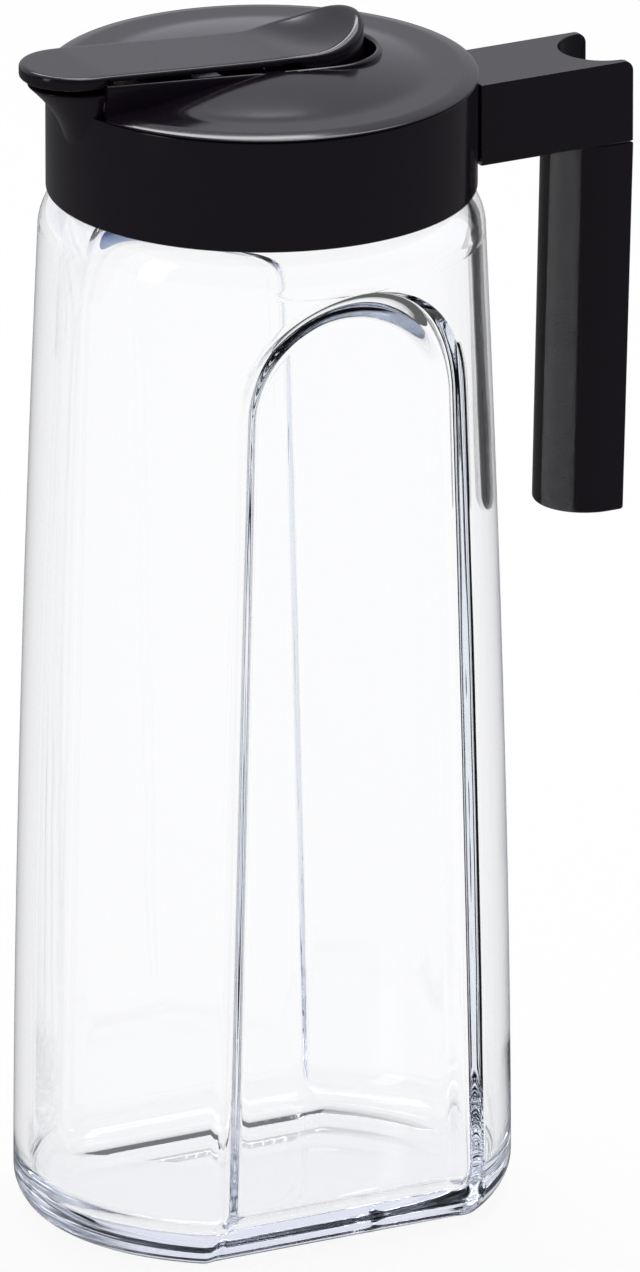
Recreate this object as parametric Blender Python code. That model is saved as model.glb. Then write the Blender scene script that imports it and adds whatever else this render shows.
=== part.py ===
"""Water pitcher: a glass jar, a screw collar with a spout, a domed lid with a rocking flap, and a handle.

+Z is up, +X points to the handle and -X to the spout. The origin is the middle of the jar's base, on the
surface that it stands on. All lengths are in metres.
"""

import math

import bmesh
import bpy
from mathutils import Matrix, Vector

# Clearances
SEAT_GAP = 0.0003  # between pieces that touch
OVERRUN = 0.004  # how far a cutter runs past what it cuts

# Pour collar, whose width sets the neck, the lid and the place of the handle
COLLAR_RADIUS = 0.050
COLLAR_HEIGHT = 0.0265
COLLAR_WALL = 0.0028
COLLAR_EDGE = 0.0005
THREAD_CLEARANCE = 0.0016  # between the neck and the collar's bore, where the thread runs
DECK_THICK = 0.0026
DECK_BORE = COLLAR_RADIUS - 0.012
DECK_LIP_WALL = 0.002
DECK_LIP_DEPTH = 0.0077

# Glass jar
JAR_HEIGHT = 0.2713
JAR_SHOULDER_RADIUS = COLLAR_RADIUS + 0.0019
JAR_FOOT_RADIUS = JAR_SHOULDER_RADIUS + 0.0057
JAR_WALL = 0.0035
JAR_FLOOR = 0.008
JAR_HEEL_ROUND = 0.009
JAR_INNER_HEEL_ROUND = 0.007
SHOULDER_ROUND = 0.012
NECK_RADIUS = COLLAR_RADIUS - COLLAR_WALL - THREAD_CLEARANCE
NECK_WALL = 0.004
NECK_HEIGHT = 0.0213
RIM_CHAMFER = 0.0008
FLARE_POWER = 1.6  # how the wall's flare eases off towards the foot

# Flat arched panel on each side of the jar
PANEL_OFFSET = JAR_SHOULDER_RADIUS - 0.0099  # from the jar's axis to the flat
PANEL_ARCH_SHARE = 0.5106  # of the shoulder's radius
PANEL_FOOT_SHARE = 0.6647
PANEL_ARCH_RADIUS = PANEL_ARCH_SHARE * JAR_SHOULDER_RADIUS
PANEL_FOOT_HALF = PANEL_FOOT_SHARE * JAR_SHOULDER_RADIUS
PANEL_TOP_MARGIN = 0.0082  # from the arch's top to the start of the shoulder
PANEL_DRAFT = math.radians(25)

# Neck gasket
NECK_GASKET_THICK = 0.0015

# Lid disc
LID_EDGE_THICK = 0.0007
LID_RADIUS = COLLAR_RADIUS + 0.0002
RIM_CROWN = 0.0005  # rise of the rim's flat band over the lid's edge
RIM_BAND_RADIUS = LID_RADIUS - 0.0042
EDGE_FALL = 0.0003  # from the lid's nominal rim to the top of its outer face
RIM_CURVE_SHARES = ((0.0, 1.0), (0.35, 0.83), (0.65, 0.53), (0.9, 0.17), (1.0, 0.0))
DOME_RISE = 0.0044
DOME_FOOT_RADIUS = LID_RADIUS - 0.010
DOME_RADIUS = DOME_FOOT_RADIUS - 0.0072
DOME_WALL = 0.0022
PLUG_CLEARANCE = 0.0004
PLUG_WALL = 0.0038
PLUG_DEPTH = 0.0105  # of its lower edge under the lid's rim

# Raised fence and well in the lid
FENCE_FRONT = COLLAR_RADIUS - 0.0032  # from the jar's axis to the fence's open front
FENCE_WIDTH_SHARE = 0.3421  # of the deck's bore
FENCE_HALF_WIDTH = FENCE_WIDTH_SHARE * DECK_BORE
FENCE_WALL = 0.0016
FENCE_FRONT_RISE = 0.0076
FENCE_WAIST = 0.004  # from the hinge pin to the end of the straight fence
FENCE_WAIST_RISE = 0.0042
TROUGH_RISE = 0.0005  # of the trough's floor over the lid's rim
WELL_CENTRE_SHARE = 0.35  # of the deck's bore
WELL_RADIUS_SHARE = 0.4263
WELL_FRONT_SHARE = 0.3158
WELL_CENTRE = WELL_CENTRE_SHARE * DECK_BORE
WELL_RADIUS = WELL_RADIUS_SHARE * DECK_BORE  # of the rear loop's outer face
WELL_FRONT = WELL_FRONT_SHARE * DECK_BORE  # from the hinge pin to the well's front wall
WELL_DROP = 0.0072
WELL_FLOOR = 0.002
PIN_RISE = 0.0012  # of the hinge pin over the lid's rim

# Pour opening and strainer bars in the trough's floor
STRAINER_FRONT = FENCE_FRONT - 0.0128
STRAINER_REAR = STRAINER_FRONT - 0.014
STRAINER_SLOT = 0.0035
STRAINER_PITCH = 0.0052
STRAINER_SLOTS = 3

# Spout on the collar
SPOUT_REACH = 0.0104  # past the collar
SPOUT_HALF_WIDTH = FENCE_HALF_WIDTH - 0.0005
SPOUT_RISE = 0.0050  # of its lip over the lid's rim
SPOUT_DROP = 0.0125  # of its point under the lid's rim
SPOUT_WALL = 0.002
SPOUT_ROOT = 0.0008  # how far its edges sink into the collar
SPOUT_FLOOR = 0.0002  # height of the trough's floor over the lid's rim, in the spout

# Lid gasket
LID_GASKET_SECTION = 0.0008  # radius of its round section
LID_GASKET_DROP = 0.0065  # under the lid's rim
GASKET_GROOVE_DEPTH = 0.0018

# Spout flap
FLAP_NOSE_RADIUS = FENCE_HALF_WIDTH - 0.0004
FLAP_NOSE_CENTRE = FENCE_FRONT + 0.0022
FLAP_WAIST_HALF = FENCE_HALF_WIDTH - 0.0011
FLAP_TAB_RADIUS = WELL_RADIUS - FENCE_WALL - 0.0008
FLAP_TAB_CENTRE = WELL_CENTRE - 0.0022
FLAP_NOSE_TOP = 0.0100  # heights of the top face over the lid's rim
FLAP_NECK_TOP = 0.0095
FLAP_WAIST_TOP = 0.0063
FLAP_TAB_TOP = 0.0128
FLAP_NOSE_BOTTOM = 0.0066
FLAP_TAB_BOTTOM = 0.0022
FLAP_TAB_START = 0.0035  # from the pin to where the tab's underside drops
FLAP_TAB_SLOPE = 0.003
FLAP_DISH = 0.0012
FLAP_EDGE_ROUND = 0.0011
FLAP_TAB_ROUND = 0.0024  # rounding over the tab's rear end
FLAP_TAB_POWER = 2.2  # how the tab's top curves up
LUG_WIDTH = 0.0025
LUG_INNER = FENCE_HALF_WIDTH / 2
LUG_RADIUS = 0.0026
SEAL_BOSS_HALF = 0.006

# Flap seal
SEAL_THICK = 0.0017
SEAL_HALF_WIDTH = 0.0085
SEAL_MARGIN = 0.0015  # past the strainer slots
SEAL_CORNER = 0.0025

# Hinge pin
PIN_RADIUS = 0.001
PIN_IN_WALL = 0.0009

# Handle arm
ARM_START = COLLAR_RADIUS + 0.001
ARM_LENGTH = 0.0401
ARM_END = ARM_START + ARM_LENGTH
ARM_HALF_WIDTH = 0.0125
ARM_HEIGHT = 0.0197
ARM_TOP_CORNER = 0.0025
ARM_EDGE = 0.0006
GROOVE_RADIUS = ARM_HALF_WIDTH - 0.0019
GROOVE_CENTRE = ARM_END - 0.0013

# Tenon and pad on the collar
TENON_LENGTH = 0.0155
TENON_HALF_WIDTH = ARM_HALF_WIDTH - 0.004
TENON_INSET = 0.0042  # below the arm's top and above its underside
TENON_CORNER = 0.001
PAD_INSET = 0.0012
PAD_THICK_ROOT = 0.003  # how far the pad sinks into the collar's wall

# Handle grip
GRIP_LENGTH = 0.0902
GRIP_CENTRE = ARM_END - 0.0036  # of its rounded inner side
GRIP_LEAN = 0.0023  # of its lower end towards the jar
GRIP_TAPER_SHARE = 0.98
GRIP_END_ROUND = 0.0009
TONGUE_HEIGHT = 0.008
TONGUE_THICK = 0.002
TONGUE_HALF_WIDTH = 0.0048
TONGUE_SETBACK = 0.0011  # from the grip's inner face

# Arm screws
SCREW_HEAD_RADIUS = 0.0028
SCREW_HEAD_HEIGHT = 0.002
SCREW_SHANK_RADIUS = 0.0014
SCREW_LENGTH = 0.0095
SCREW_OFFSETS = {"arm_screw_inner": 0.0035, "arm_screw_outer": 0.0105}  # from the arm's inner end

# Faceting
TURN_STEPS = 72
SMALL_TURN_STEPS = 16
ARC_STEPS = 5

# Heights that follow from the sizes above
DECK_UNDERSIDE = JAR_HEIGHT + SEAT_GAP + NECK_GASKET_THICK + SEAT_GAP
DECK_TOP = DECK_UNDERSIDE + DECK_THICK
COLLAR_BOTTOM = DECK_TOP - COLLAR_HEIGHT
LID_UNDERSIDE = DECK_TOP + SEAT_GAP
LID_RIM = LID_UNDERSIDE + LID_EDGE_THICK
PIN_HEIGHT = LID_RIM + PIN_RISE
ARM_BOTTOM = COLLAR_BOTTOM
ARM_TOP = ARM_BOTTOM + ARM_HEIGHT
NECK_FOOT = JAR_HEIGHT - NECK_HEIGHT
SHOULDER_IN = NECK_RADIUS - (JAR_SHOULDER_RADIUS - SHOULDER_ROUND)
SHOULDER_START = NECK_FOOT - math.sqrt(SHOULDER_ROUND**2 - SHOULDER_IN**2)
PLUG_RADIUS = DECK_BORE - PLUG_CLEARANCE


def material(name, colour, roughness, transmission=0.0):
    """A Principled material; a clear one also gets glass's index of refraction."""
    made = bpy.data.materials.new(name)
    made.use_nodes = True
    shader = made.node_tree.nodes["Principled BSDF"]
    shader.inputs["Base Color"].default_value = (*colour, 1.0)
    shader.inputs["Roughness"].default_value = roughness
    shader.inputs["Transmission Weight"].default_value = transmission
    made.diffuse_color = (*colour, 1.0)
    return made


def node(name, mesh_builder, finish=None):
    """Turns a bmesh into an object, faces out, with flat faces kept crisp and round ones smooth."""
    bmesh.ops.recalc_face_normals(mesh_builder, faces=mesh_builder.faces)
    mesh = bpy.data.meshes.new(name)
    mesh_builder.to_mesh(mesh)
    mesh_builder.free()
    mesh.shade_smooth()
    mesh.set_sharp_from_angle(angle=math.radians(30))
    made = bpy.data.objects.new(name, mesh)
    bpy.context.scene.collection.objects.link(made)
    if finish:
        mesh.materials.append(finish)
    return made


def helper(made):
    """Marks an object as a cutter or a shape to join, which isn't a piece by itself."""
    made.hide_render = True
    made.display_type = "WIRE"
    return made


def combine(target, other, operation):
    """Adds a Boolean with a helper object to the target."""
    helper(other)
    step = target.modifiers.new(f"{operation.lower()} {other.name}", "BOOLEAN")
    step.operation = operation
    step.solver = "EXACT"
    step.object = other


def turned(name, profile, finish=None, steps=TURN_STEPS, closed=True):
    """Spins a profile of (radius, height) points about Z; an open one starts and ends on the axis."""
    work = bmesh.new()
    points = [work.verts.new((radius, 0, height)) for radius, height in profile]
    ends = points[1:] + (points[:1] if closed else [])
    edges = [work.edges.new(pair) for pair in zip(points, ends)]
    bmesh.ops.spin(
        work,
        geom=points + edges,
        cent=(0, 0, 0),
        axis=(0, 0, 1),
        angle=math.tau,
        steps=steps,
        use_duplicate=False,
    )
    bmesh.ops.remove_doubles(work, verts=work.verts, dist=SEAT_GAP / 100)
    return node(name, work, finish)


def lofted(name, rings, finish=None):
    """Joins closed rings of equal count with faces and closes both ends."""
    work = bmesh.new()
    levels = [[work.verts.new(point) for point in ring] for ring in rings]
    for lower, upper in zip(levels, levels[1:]):
        for i, corner in enumerate(lower):
            j = (i + 1) % len(lower)
            work.faces.new((corner, lower[j], upper[j], upper[i]))
    work.faces.new(levels[0])
    work.faces.new(levels[-1])
    return node(name, work, finish)


def plate(name, outline, low, high, finish=None):
    """A solid over an XY outline, between two heights that are numbers or functions of x."""
    low_at = low if callable(low) else lambda x: low
    high_at = high if callable(high) else lambda x: high
    rings = [[Vector((x, y, level(x))) for x, y in outline] for level in (low_at, high_at)]
    return lofted(name, rings, finish)


def bar_along_y(name, outline, half_width, middle=0.0, finish=None):
    """A solid over an XZ outline, of a given half width in Y."""
    rings = [[Vector((x, middle + side, z)) for x, z in outline] for side in (-half_width, half_width)]
    return lofted(name, rings, finish)


def bevelled(made, width, segments=2, angle=40):
    """Rounds an object's own sharp edges before its Booleans."""
    step = made.modifiers.new("edge rounding", "BEVEL")
    step.width = width
    step.segments = segments
    step.limit_method = "ANGLE"
    step.angle_limit = math.radians(angle)
    return made


def arc(centre, radius, start, end, steps=ARC_STEPS):
    """Points on an arc, angles in degrees, ends included."""
    angles = [math.radians(start + (end - start) * i / steps) for i in range(steps + 1)]
    return [(centre[0] + radius * math.cos(a), centre[1] + radius * math.sin(a)) for a in angles]


def rectangle(low_x, high_x, low_y, high_y):
    return [(low_x, low_y), (high_x, low_y), (high_x, high_y), (low_x, high_y)]


def eased(share):
    """A smooth step from 0 to 1."""
    share = min(max(share, 0.0), 1.0)
    return share * share * (3 - 2 * share)


def between(first, last, share):
    return first + (last - first) * share


# Glass jar


def wall_radius(height):
    """Outer radius of the jar's wall, which flares from the shoulder down to the foot."""
    share = (height - JAR_HEEL_ROUND) / (SHOULDER_START - JAR_HEEL_ROUND)
    share = min(max(share, 0.0), 1.0)
    return JAR_FOOT_RADIUS - (JAR_FOOT_RADIUS - JAR_SHOULDER_RADIUS) * share**FLARE_POWER


def jar_profile(inset, floor, heel_round, top, top_radius, wall_levels=7):
    """Half outline of the jar or, with an inset, of its hollow, from the axis at the bottom to the axis on top."""
    foot = wall_radius(0) - inset
    shoulder_round = SHOULDER_ROUND - inset
    shoulder_centre = JAR_SHOULDER_RADIUS - SHOULDER_ROUND
    neck_in = min(max(top_radius - shoulder_centre, 0.0) / shoulder_round, 1.0)
    points = [(0, floor)]
    points += arc((foot - heel_round, floor + heel_round), heel_round, -90, 0)
    start = floor + heel_round
    for i in range(1, wall_levels):
        height = between(start, SHOULDER_START, i / wall_levels)
        points.append((wall_radius(height) - inset, height))
    points += arc((shoulder_centre, SHOULDER_START), shoulder_round, 0, math.degrees(math.acos(neck_in)))
    if top > JAR_HEIGHT:
        return points + [(top_radius, top), (0, top)]
    return points + [(top_radius, top - RIM_CHAMFER), (top_radius - RIM_CHAMFER, top), (0, top)]


def panel_block(name, side, offset, spread, low):
    """The shape that a flat arched panel takes out of one side: flat at the offset, drafted towards the outside."""
    spring = SHOULDER_START - PANEL_TOP_MARGIN - PANEL_ARCH_RADIUS
    depth = JAR_FOOT_RADIUS + OVERRUN - offset
    rings = []
    for out in (0.0, depth):
        grow = spread + out * math.tan(PANEL_DRAFT)
        outline = [(PANEL_FOOT_HALF + grow, low), (-PANEL_FOOT_HALF - grow, low)]
        outline += arc((0, spring), PANEL_ARCH_RADIUS + grow, 180, 0, 4 * ARC_STEPS)
        rings.append([Vector((x, side * (offset + out), z)) for x, z in outline])
    return lofted(name, rings)


def heel_block(name, side):
    """Rounds the lower edge of a flat panel like the rest of the foot."""
    centre_y = PANEL_OFFSET - JAR_HEEL_ROUND
    curve = arc((centre_y, JAR_HEEL_ROUND), JAR_HEEL_ROUND, 0, -90)
    far = PANEL_OFFSET + OVERRUN
    section = curve + [(centre_y, -OVERRUN), (far, -OVERRUN), (far, JAR_HEEL_ROUND)]
    rings = [[Vector((x, side * y, z)) for y, z in section] for x in (-PANEL_FOOT_HALF, PANEL_FOOT_HALF)]
    return lofted(name, rings)


def build_jar(finish):
    jar = turned(
        "glass_jar",
        jar_profile(0.0, 0.0, JAR_HEEL_ROUND, JAR_HEIGHT, NECK_RADIUS),
        finish,
        closed=False,
    )
    inner_neck = NECK_RADIUS - NECK_WALL
    hollow = turned(
        "jar hollow",
        jar_profile(JAR_WALL, JAR_FLOOR, JAR_INNER_HEEL_ROUND, JAR_HEIGHT + OVERRUN, inner_neck),
        closed=False,
    )
    for label, side in (("left", 1), ("right", -1)):
        combine(jar, panel_block(f"{label} panel", side, PANEL_OFFSET, 0.0, -OVERRUN), "DIFFERENCE")
        combine(jar, heel_block(f"{label} panel heel", side), "DIFFERENCE")
        inner = panel_block(f"{label} inner panel", side, PANEL_OFFSET - JAR_WALL, JAR_WALL / 2, 0.0)
        combine(hollow, inner, "DIFFERENCE")
    combine(jar, hollow, "DIFFERENCE")


def build_neck_gasket(finish):
    low = JAR_HEIGHT + SEAT_GAP
    inner = NECK_RADIUS - NECK_WALL + RIM_CHAMFER
    outer = NECK_RADIUS
    high = low + NECK_GASKET_THICK
    turned("neck_gasket", [(inner, low), (outer, low), (outer, high), (inner, high)], finish)


# Pour collar


def spout_share(height):
    """0 at the spout's point, 1 at its lip."""
    low = LID_RIM - SPOUT_DROP
    return min(max((height - low) / (SPOUT_RISE + SPOUT_DROP), 0.0), 1.0)


def spout_ring(height, wall, back, steps=14):
    """Outline of the spout at one height, or of its hollow when it has a wall, from one root to the other."""
    share = spout_share(height)
    half = SPOUT_ROOT + (SPOUT_HALF_WIDTH - SPOUT_ROOT) * math.sqrt(share) - wall
    reach = SPOUT_REACH * share**1.9 - wall + SPOUT_ROOT
    blunt = between(1.1, 0.55, share)
    points = []
    for i in range(steps + 1):
        across = math.cos(math.pi * i / steps)
        y = half * across
        bulge = reach * max(1 - across * across, 0.0) ** blunt - SPOUT_ROOT
        points.append(Vector((-math.sqrt(COLLAR_RADIUS**2 - y * y) - bulge, y, height)))
    return points + [Vector((-back, -half, height)), Vector((-back, half, height))]


def spout_heights(low, high, steps):
    return [between(low, high, i / steps) for i in range(steps + 1)]


def build_collar(finish):
    bore = COLLAR_RADIUS - COLLAR_WALL
    lip_bottom = DECK_TOP - DECK_LIP_DEPTH
    profile = [
        (COLLAR_RADIUS, COLLAR_BOTTOM + COLLAR_EDGE),
        (COLLAR_RADIUS, DECK_TOP),
        (DECK_BORE, DECK_TOP),
        (DECK_BORE, lip_bottom),
        (DECK_BORE + DECK_LIP_WALL, lip_bottom),
        (DECK_BORE + DECK_LIP_WALL, DECK_UNDERSIDE),
        (bore, DECK_UNDERSIDE),
        (bore, COLLAR_BOTTOM),
        (COLLAR_RADIUS - COLLAR_EDGE, COLLAR_BOTTOM),
    ]
    collar = turned("pour_collar", profile, finish, steps=TURN_STEPS)

    back = FENCE_FRONT + SEAT_GAP
    lip = LID_RIM + SPOUT_RISE
    heights = spout_heights(LID_RIM - SPOUT_DROP, lip, 10)
    spout = lofted("spout", [spout_ring(height, 0.0, back) for height in heights])
    combine(collar, spout, "UNION")
    floor = LID_RIM + SPOUT_FLOOR
    inner_heights = spout_heights(floor, lip + OVERRUN, 6)
    hollow = lofted("spout hollow", [spout_ring(z, SPOUT_WALL, back - OVERRUN) for z in inner_heights])
    combine(collar, hollow, "DIFFERENCE")

    pad_face = ARM_START - SEAT_GAP
    pad_root = COLLAR_RADIUS - PAD_THICK_ROOT + PAD_INSET
    pad_half = ARM_HALF_WIDTH - PAD_INSET
    pad = plate(
        "arm pad",
        rectangle(pad_root, pad_face, -pad_half, pad_half),
        ARM_BOTTOM + PAD_INSET,
        ARM_TOP - PAD_INSET,
    )
    combine(collar, pad, "UNION")
    tenon = plate(
        "arm tenon",
        rectangle(pad_root, ARM_START + TENON_LENGTH, -TENON_HALF_WIDTH, TENON_HALF_WIDTH),
        ARM_BOTTOM + TENON_INSET,
        ARM_TOP - TENON_INSET,
    )
    combine(collar, bevelled(tenon, TENON_CORNER, 1), "UNION")
    for name, offset in SCREW_OFFSETS.items():
        hole = screw_hole(f"{name} pilot", ARM_START + offset, SCREW_SHANK_RADIUS, SCREW_LENGTH)
        combine(collar, hole, "DIFFERENCE")


# Lid disc


def dome_rise(radius):
    """Height of the lid's top over its edge: a shallow cap that eases into the rim's flat band."""
    if radius <= DOME_RADIUS:
        return DOME_RISE * (1 - (2 * radius / (DOME_RADIUS + DOME_FOOT_RADIUS)) ** 2)
    start = dome_rise(DOME_RADIUS)
    share = (radius - DOME_RADIUS) / (DOME_FOOT_RADIUS - DOME_RADIUS)
    return RIM_CROWN + (start - RIM_CROWN) * (1 - share) ** 2


def fence_rise(x):
    """Height of the fence's top edge over the lid's rim: it falls from the spout to the waist."""
    share = (x + FENCE_FRONT) / (FENCE_FRONT - FENCE_WAIST)
    return between(FENCE_FRONT_RISE, FENCE_WAIST_RISE, min(share, 1.0))


def loop_outline(inset, front, steps=18):
    """Outline of the fence's outer face, or of one inside it: straight sides, then a round rear loop."""
    radius = WELL_RADIUS - inset
    half = FENCE_HALF_WIDTH - inset
    span_x, span_y = WELL_CENTRE + FENCE_WAIST, half
    distance = math.hypot(span_x, span_y)
    turn = math.degrees(math.acos(radius / distance) - math.atan2(span_y, span_x))
    end = 180 - turn - 2 * math.degrees(math.atan2(span_y, span_x))
    end = 180 - math.degrees(math.acos(radius / distance)) - math.degrees(math.atan2(span_y, span_x))
    corners = [(-front, -half), (-FENCE_WAIST, -half)] if front > FENCE_WAIST else []
    other = [(x, -y) for x, y in reversed(corners)]
    return corners + arc((WELL_CENTRE, 0), radius, -end, end, steps) + other


def build_lid(finish):
    top = [(DOME_FOOT_RADIUS * i / 9, LID_RIM + dome_rise(DOME_FOOT_RADIUS * i / 9)) for i in range(10)]
    span = LID_RADIUS - RIM_BAND_RADIUS
    edge_rise = RIM_CROWN + EDGE_FALL
    for width_share, height_share in RIM_CURVE_SHARES:
        top.append((RIM_BAND_RADIUS + span * width_share, LID_RIM - EDGE_FALL + edge_rise * height_share))
    plug_bottom = LID_RIM - PLUG_DEPTH
    plug_inner = PLUG_RADIUS - PLUG_WALL
    groove_low = LID_RIM - LID_GASKET_DROP - LID_GASKET_SECTION - SEAT_GAP
    groove_high = groove_low + 2 * (LID_GASKET_SECTION + SEAT_GAP)
    groove_radius = PLUG_RADIUS - GASKET_GROOVE_DEPTH
    below = [
        (LID_RADIUS, LID_UNDERSIDE),
        (PLUG_RADIUS, LID_UNDERSIDE),
        (PLUG_RADIUS, groove_high),
        (groove_radius, groove_high),
        (groove_radius, groove_low),
        (PLUG_RADIUS, groove_low),
        (PLUG_RADIUS, plug_bottom),
        (plug_inner, plug_bottom),
    ]
    for i in range(4, -1, -1):
        radius = plug_inner * i / 4
        below.append((radius, LID_RIM + dome_rise(radius) - DOME_WALL))
    lid = turned("lid_disc", top + below, finish, closed=False)

    well_low = LID_RIM - WELL_DROP - WELL_FLOOR
    well = plate("well wall", loop_outline(0.0, WELL_FRONT), well_low, lambda x: LID_RIM + fence_rise(x))
    combine(lid, well, "UNION")
    front = [(x, y) for x, y in loop_outline(0.0, FENCE_FRONT) if x <= -FENCE_WAIST]
    trough = plate("trough wall", front, LID_UNDERSIDE, lambda x: LID_RIM + fence_rise(x))
    combine(lid, trough, "UNION")

    high = LID_RIM + FENCE_FRONT_RISE + OVERRUN
    notch_half = FENCE_HALF_WIDTH + SEAT_GAP
    notch_low = LID_UNDERSIDE - OVERRUN
    far = COLLAR_RADIUS + OVERRUN
    flare = notch_half + far - FENCE_FRONT
    notch = [(-far, -flare), (-FENCE_FRONT, -notch_half), (-FENCE_FRONT, notch_half), (-far, flare)]
    combine(lid, plate("spout notch", notch, notch_low, high), "DIFFERENCE")
    inner_half = FENCE_HALF_WIDTH - FENCE_WALL
    trough_box = rectangle(-FENCE_FRONT - OVERRUN, -WELL_FRONT + FENCE_WALL, -inner_half, inner_half)
    combine(lid, plate("trough hollow", trough_box, LID_RIM + TROUGH_RISE, high), "DIFFERENCE")
    well_outline = loop_outline(FENCE_WALL, WELL_FRONT - FENCE_WALL)
    combine(lid, plate("well hollow", well_outline, LID_RIM - WELL_DROP, high), "DIFFERENCE")
    for i in range(STRAINER_SLOTS):
        middle = (i - (STRAINER_SLOTS - 1) / 2) * STRAINER_PITCH
        slot_half = STRAINER_SLOT / 2
        outline = rectangle(-STRAINER_FRONT, -STRAINER_REAR, middle - slot_half, middle + slot_half)
        slot = plate(f"strainer slot {i + 1}", outline, LID_UNDERSIDE - OVERRUN, LID_RIM + OVERRUN)
        combine(lid, slot, "DIFFERENCE")
    hole = circle_xz(PIN_RADIUS + SEAT_GAP)
    reach = pin_half_length() + SEAT_GAP
    combine(lid, bar_along_y("pin holes", hole, reach), "DIFFERENCE")


def build_lid_gasket(finish):
    radius = DECK_BORE - SEAT_GAP - LID_GASKET_SECTION
    centre = (radius, LID_RIM - LID_GASKET_DROP)
    section = arc(centre, LID_GASKET_SECTION, 0, 360 * 7 / 8, 7)
    turned("lid_gasket", section, finish)


# Flap, pin and seal


def circle_xz(radius, steps=SMALL_TURN_STEPS):
    """A circle about the hinge pin's axis, in the XZ plane."""
    return arc((0, PIN_HEIGHT), radius, 0, 360 * (steps - 1) / steps, steps - 1)


def pin_half_length():
    """The pin ends a little way inside the fence's walls."""
    slope = (WELL_RADIUS - FENCE_HALF_WIDTH) / (WELL_CENTRE + FENCE_WAIST)
    inner_face = FENCE_HALF_WIDTH - FENCE_WALL + slope * FENCE_WAIST
    return inner_face + PIN_IN_WALL


def flap_half_width(x):
    if x <= -FLAP_NOSE_CENTRE:
        return math.sqrt(max(FLAP_NOSE_RADIUS**2 - (x + FLAP_NOSE_CENTRE) ** 2, 0.0))
    if x >= FLAP_TAB_CENTRE:
        return math.sqrt(max(FLAP_TAB_RADIUS**2 - (x - FLAP_TAB_CENTRE) ** 2, 0.0))
    if x < 0:
        return between(FLAP_WAIST_HALF, FLAP_NOSE_RADIUS, -x / FLAP_NOSE_CENTRE)
    return between(FLAP_WAIST_HALF, FLAP_TAB_RADIUS, eased(x / FLAP_TAB_CENTRE))


def flap_top(x):
    """Height of the flap's top edge over the lid's rim: down from the nose to the waist, then up to the tab."""
    if x < -FENCE_FRONT:
        share = (-x - FENCE_FRONT) / (FLAP_NOSE_CENTRE + FLAP_NOSE_RADIUS - FENCE_FRONT)
        return between(FLAP_NECK_TOP, FLAP_NOSE_TOP, share)
    if x < 0:
        return between(FLAP_WAIST_TOP, FLAP_NECK_TOP, -x / FENCE_FRONT)
    share = x / (FLAP_TAB_CENTRE + FLAP_TAB_RADIUS)
    return between(FLAP_WAIST_TOP, FLAP_TAB_TOP, share**FLAP_TAB_POWER)


def flap_bottom(x):
    """Height of the flap's underside over the lid's rim: over the spout's lip, over the fence, then into the well."""
    if x < -FENCE_FRONT:
        return FLAP_NOSE_BOTTOM
    over_fence = fence_rise(min(x, -FENCE_WAIST)) + SEAT_GAP
    return between(over_fence, FLAP_TAB_BOTTOM, eased((x - FLAP_TAB_START) / FLAP_TAB_SLOPE))


def rounding_drop(distance, radius):
    """How far a rounding of that radius lowers the top at a distance from the end."""
    inside = max(radius - distance, 0.0)
    return radius - math.sqrt(radius * radius - inside * inside)


def flap_ring(x, drop=0.0, across=8):
    """Section of the flap across its length: a dished top with rounded edges, and a flat underside."""
    half = flap_half_width(x)
    flat = half - FLAP_EDGE_ROUND
    length = FLAP_TAB_CENTRE + FLAP_TAB_RADIUS
    dish = FLAP_DISH * math.sin(math.pi * min(max(x / length, 0.0), 1.0)) ** 0.7
    top = LID_RIM + flap_top(x) - drop
    low = LID_RIM + flap_bottom(x)
    side = arc((flat, top - FLAP_EDGE_ROUND), FLAP_EDGE_ROUND, 0, 60, 2)
    ring = [Vector((x, -y, z)) for y, z in side]
    for i in range(across + 1):
        share = 2 * i / across - 1
        ring.append(Vector((x, flat * share, top - dish * (1 - share * share))))
    ring += [Vector((x, y, z)) for y, z in reversed(side)]
    return ring + [Vector((x, half, low)), Vector((x, 0, low)), Vector((x, -half, low))]


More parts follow.
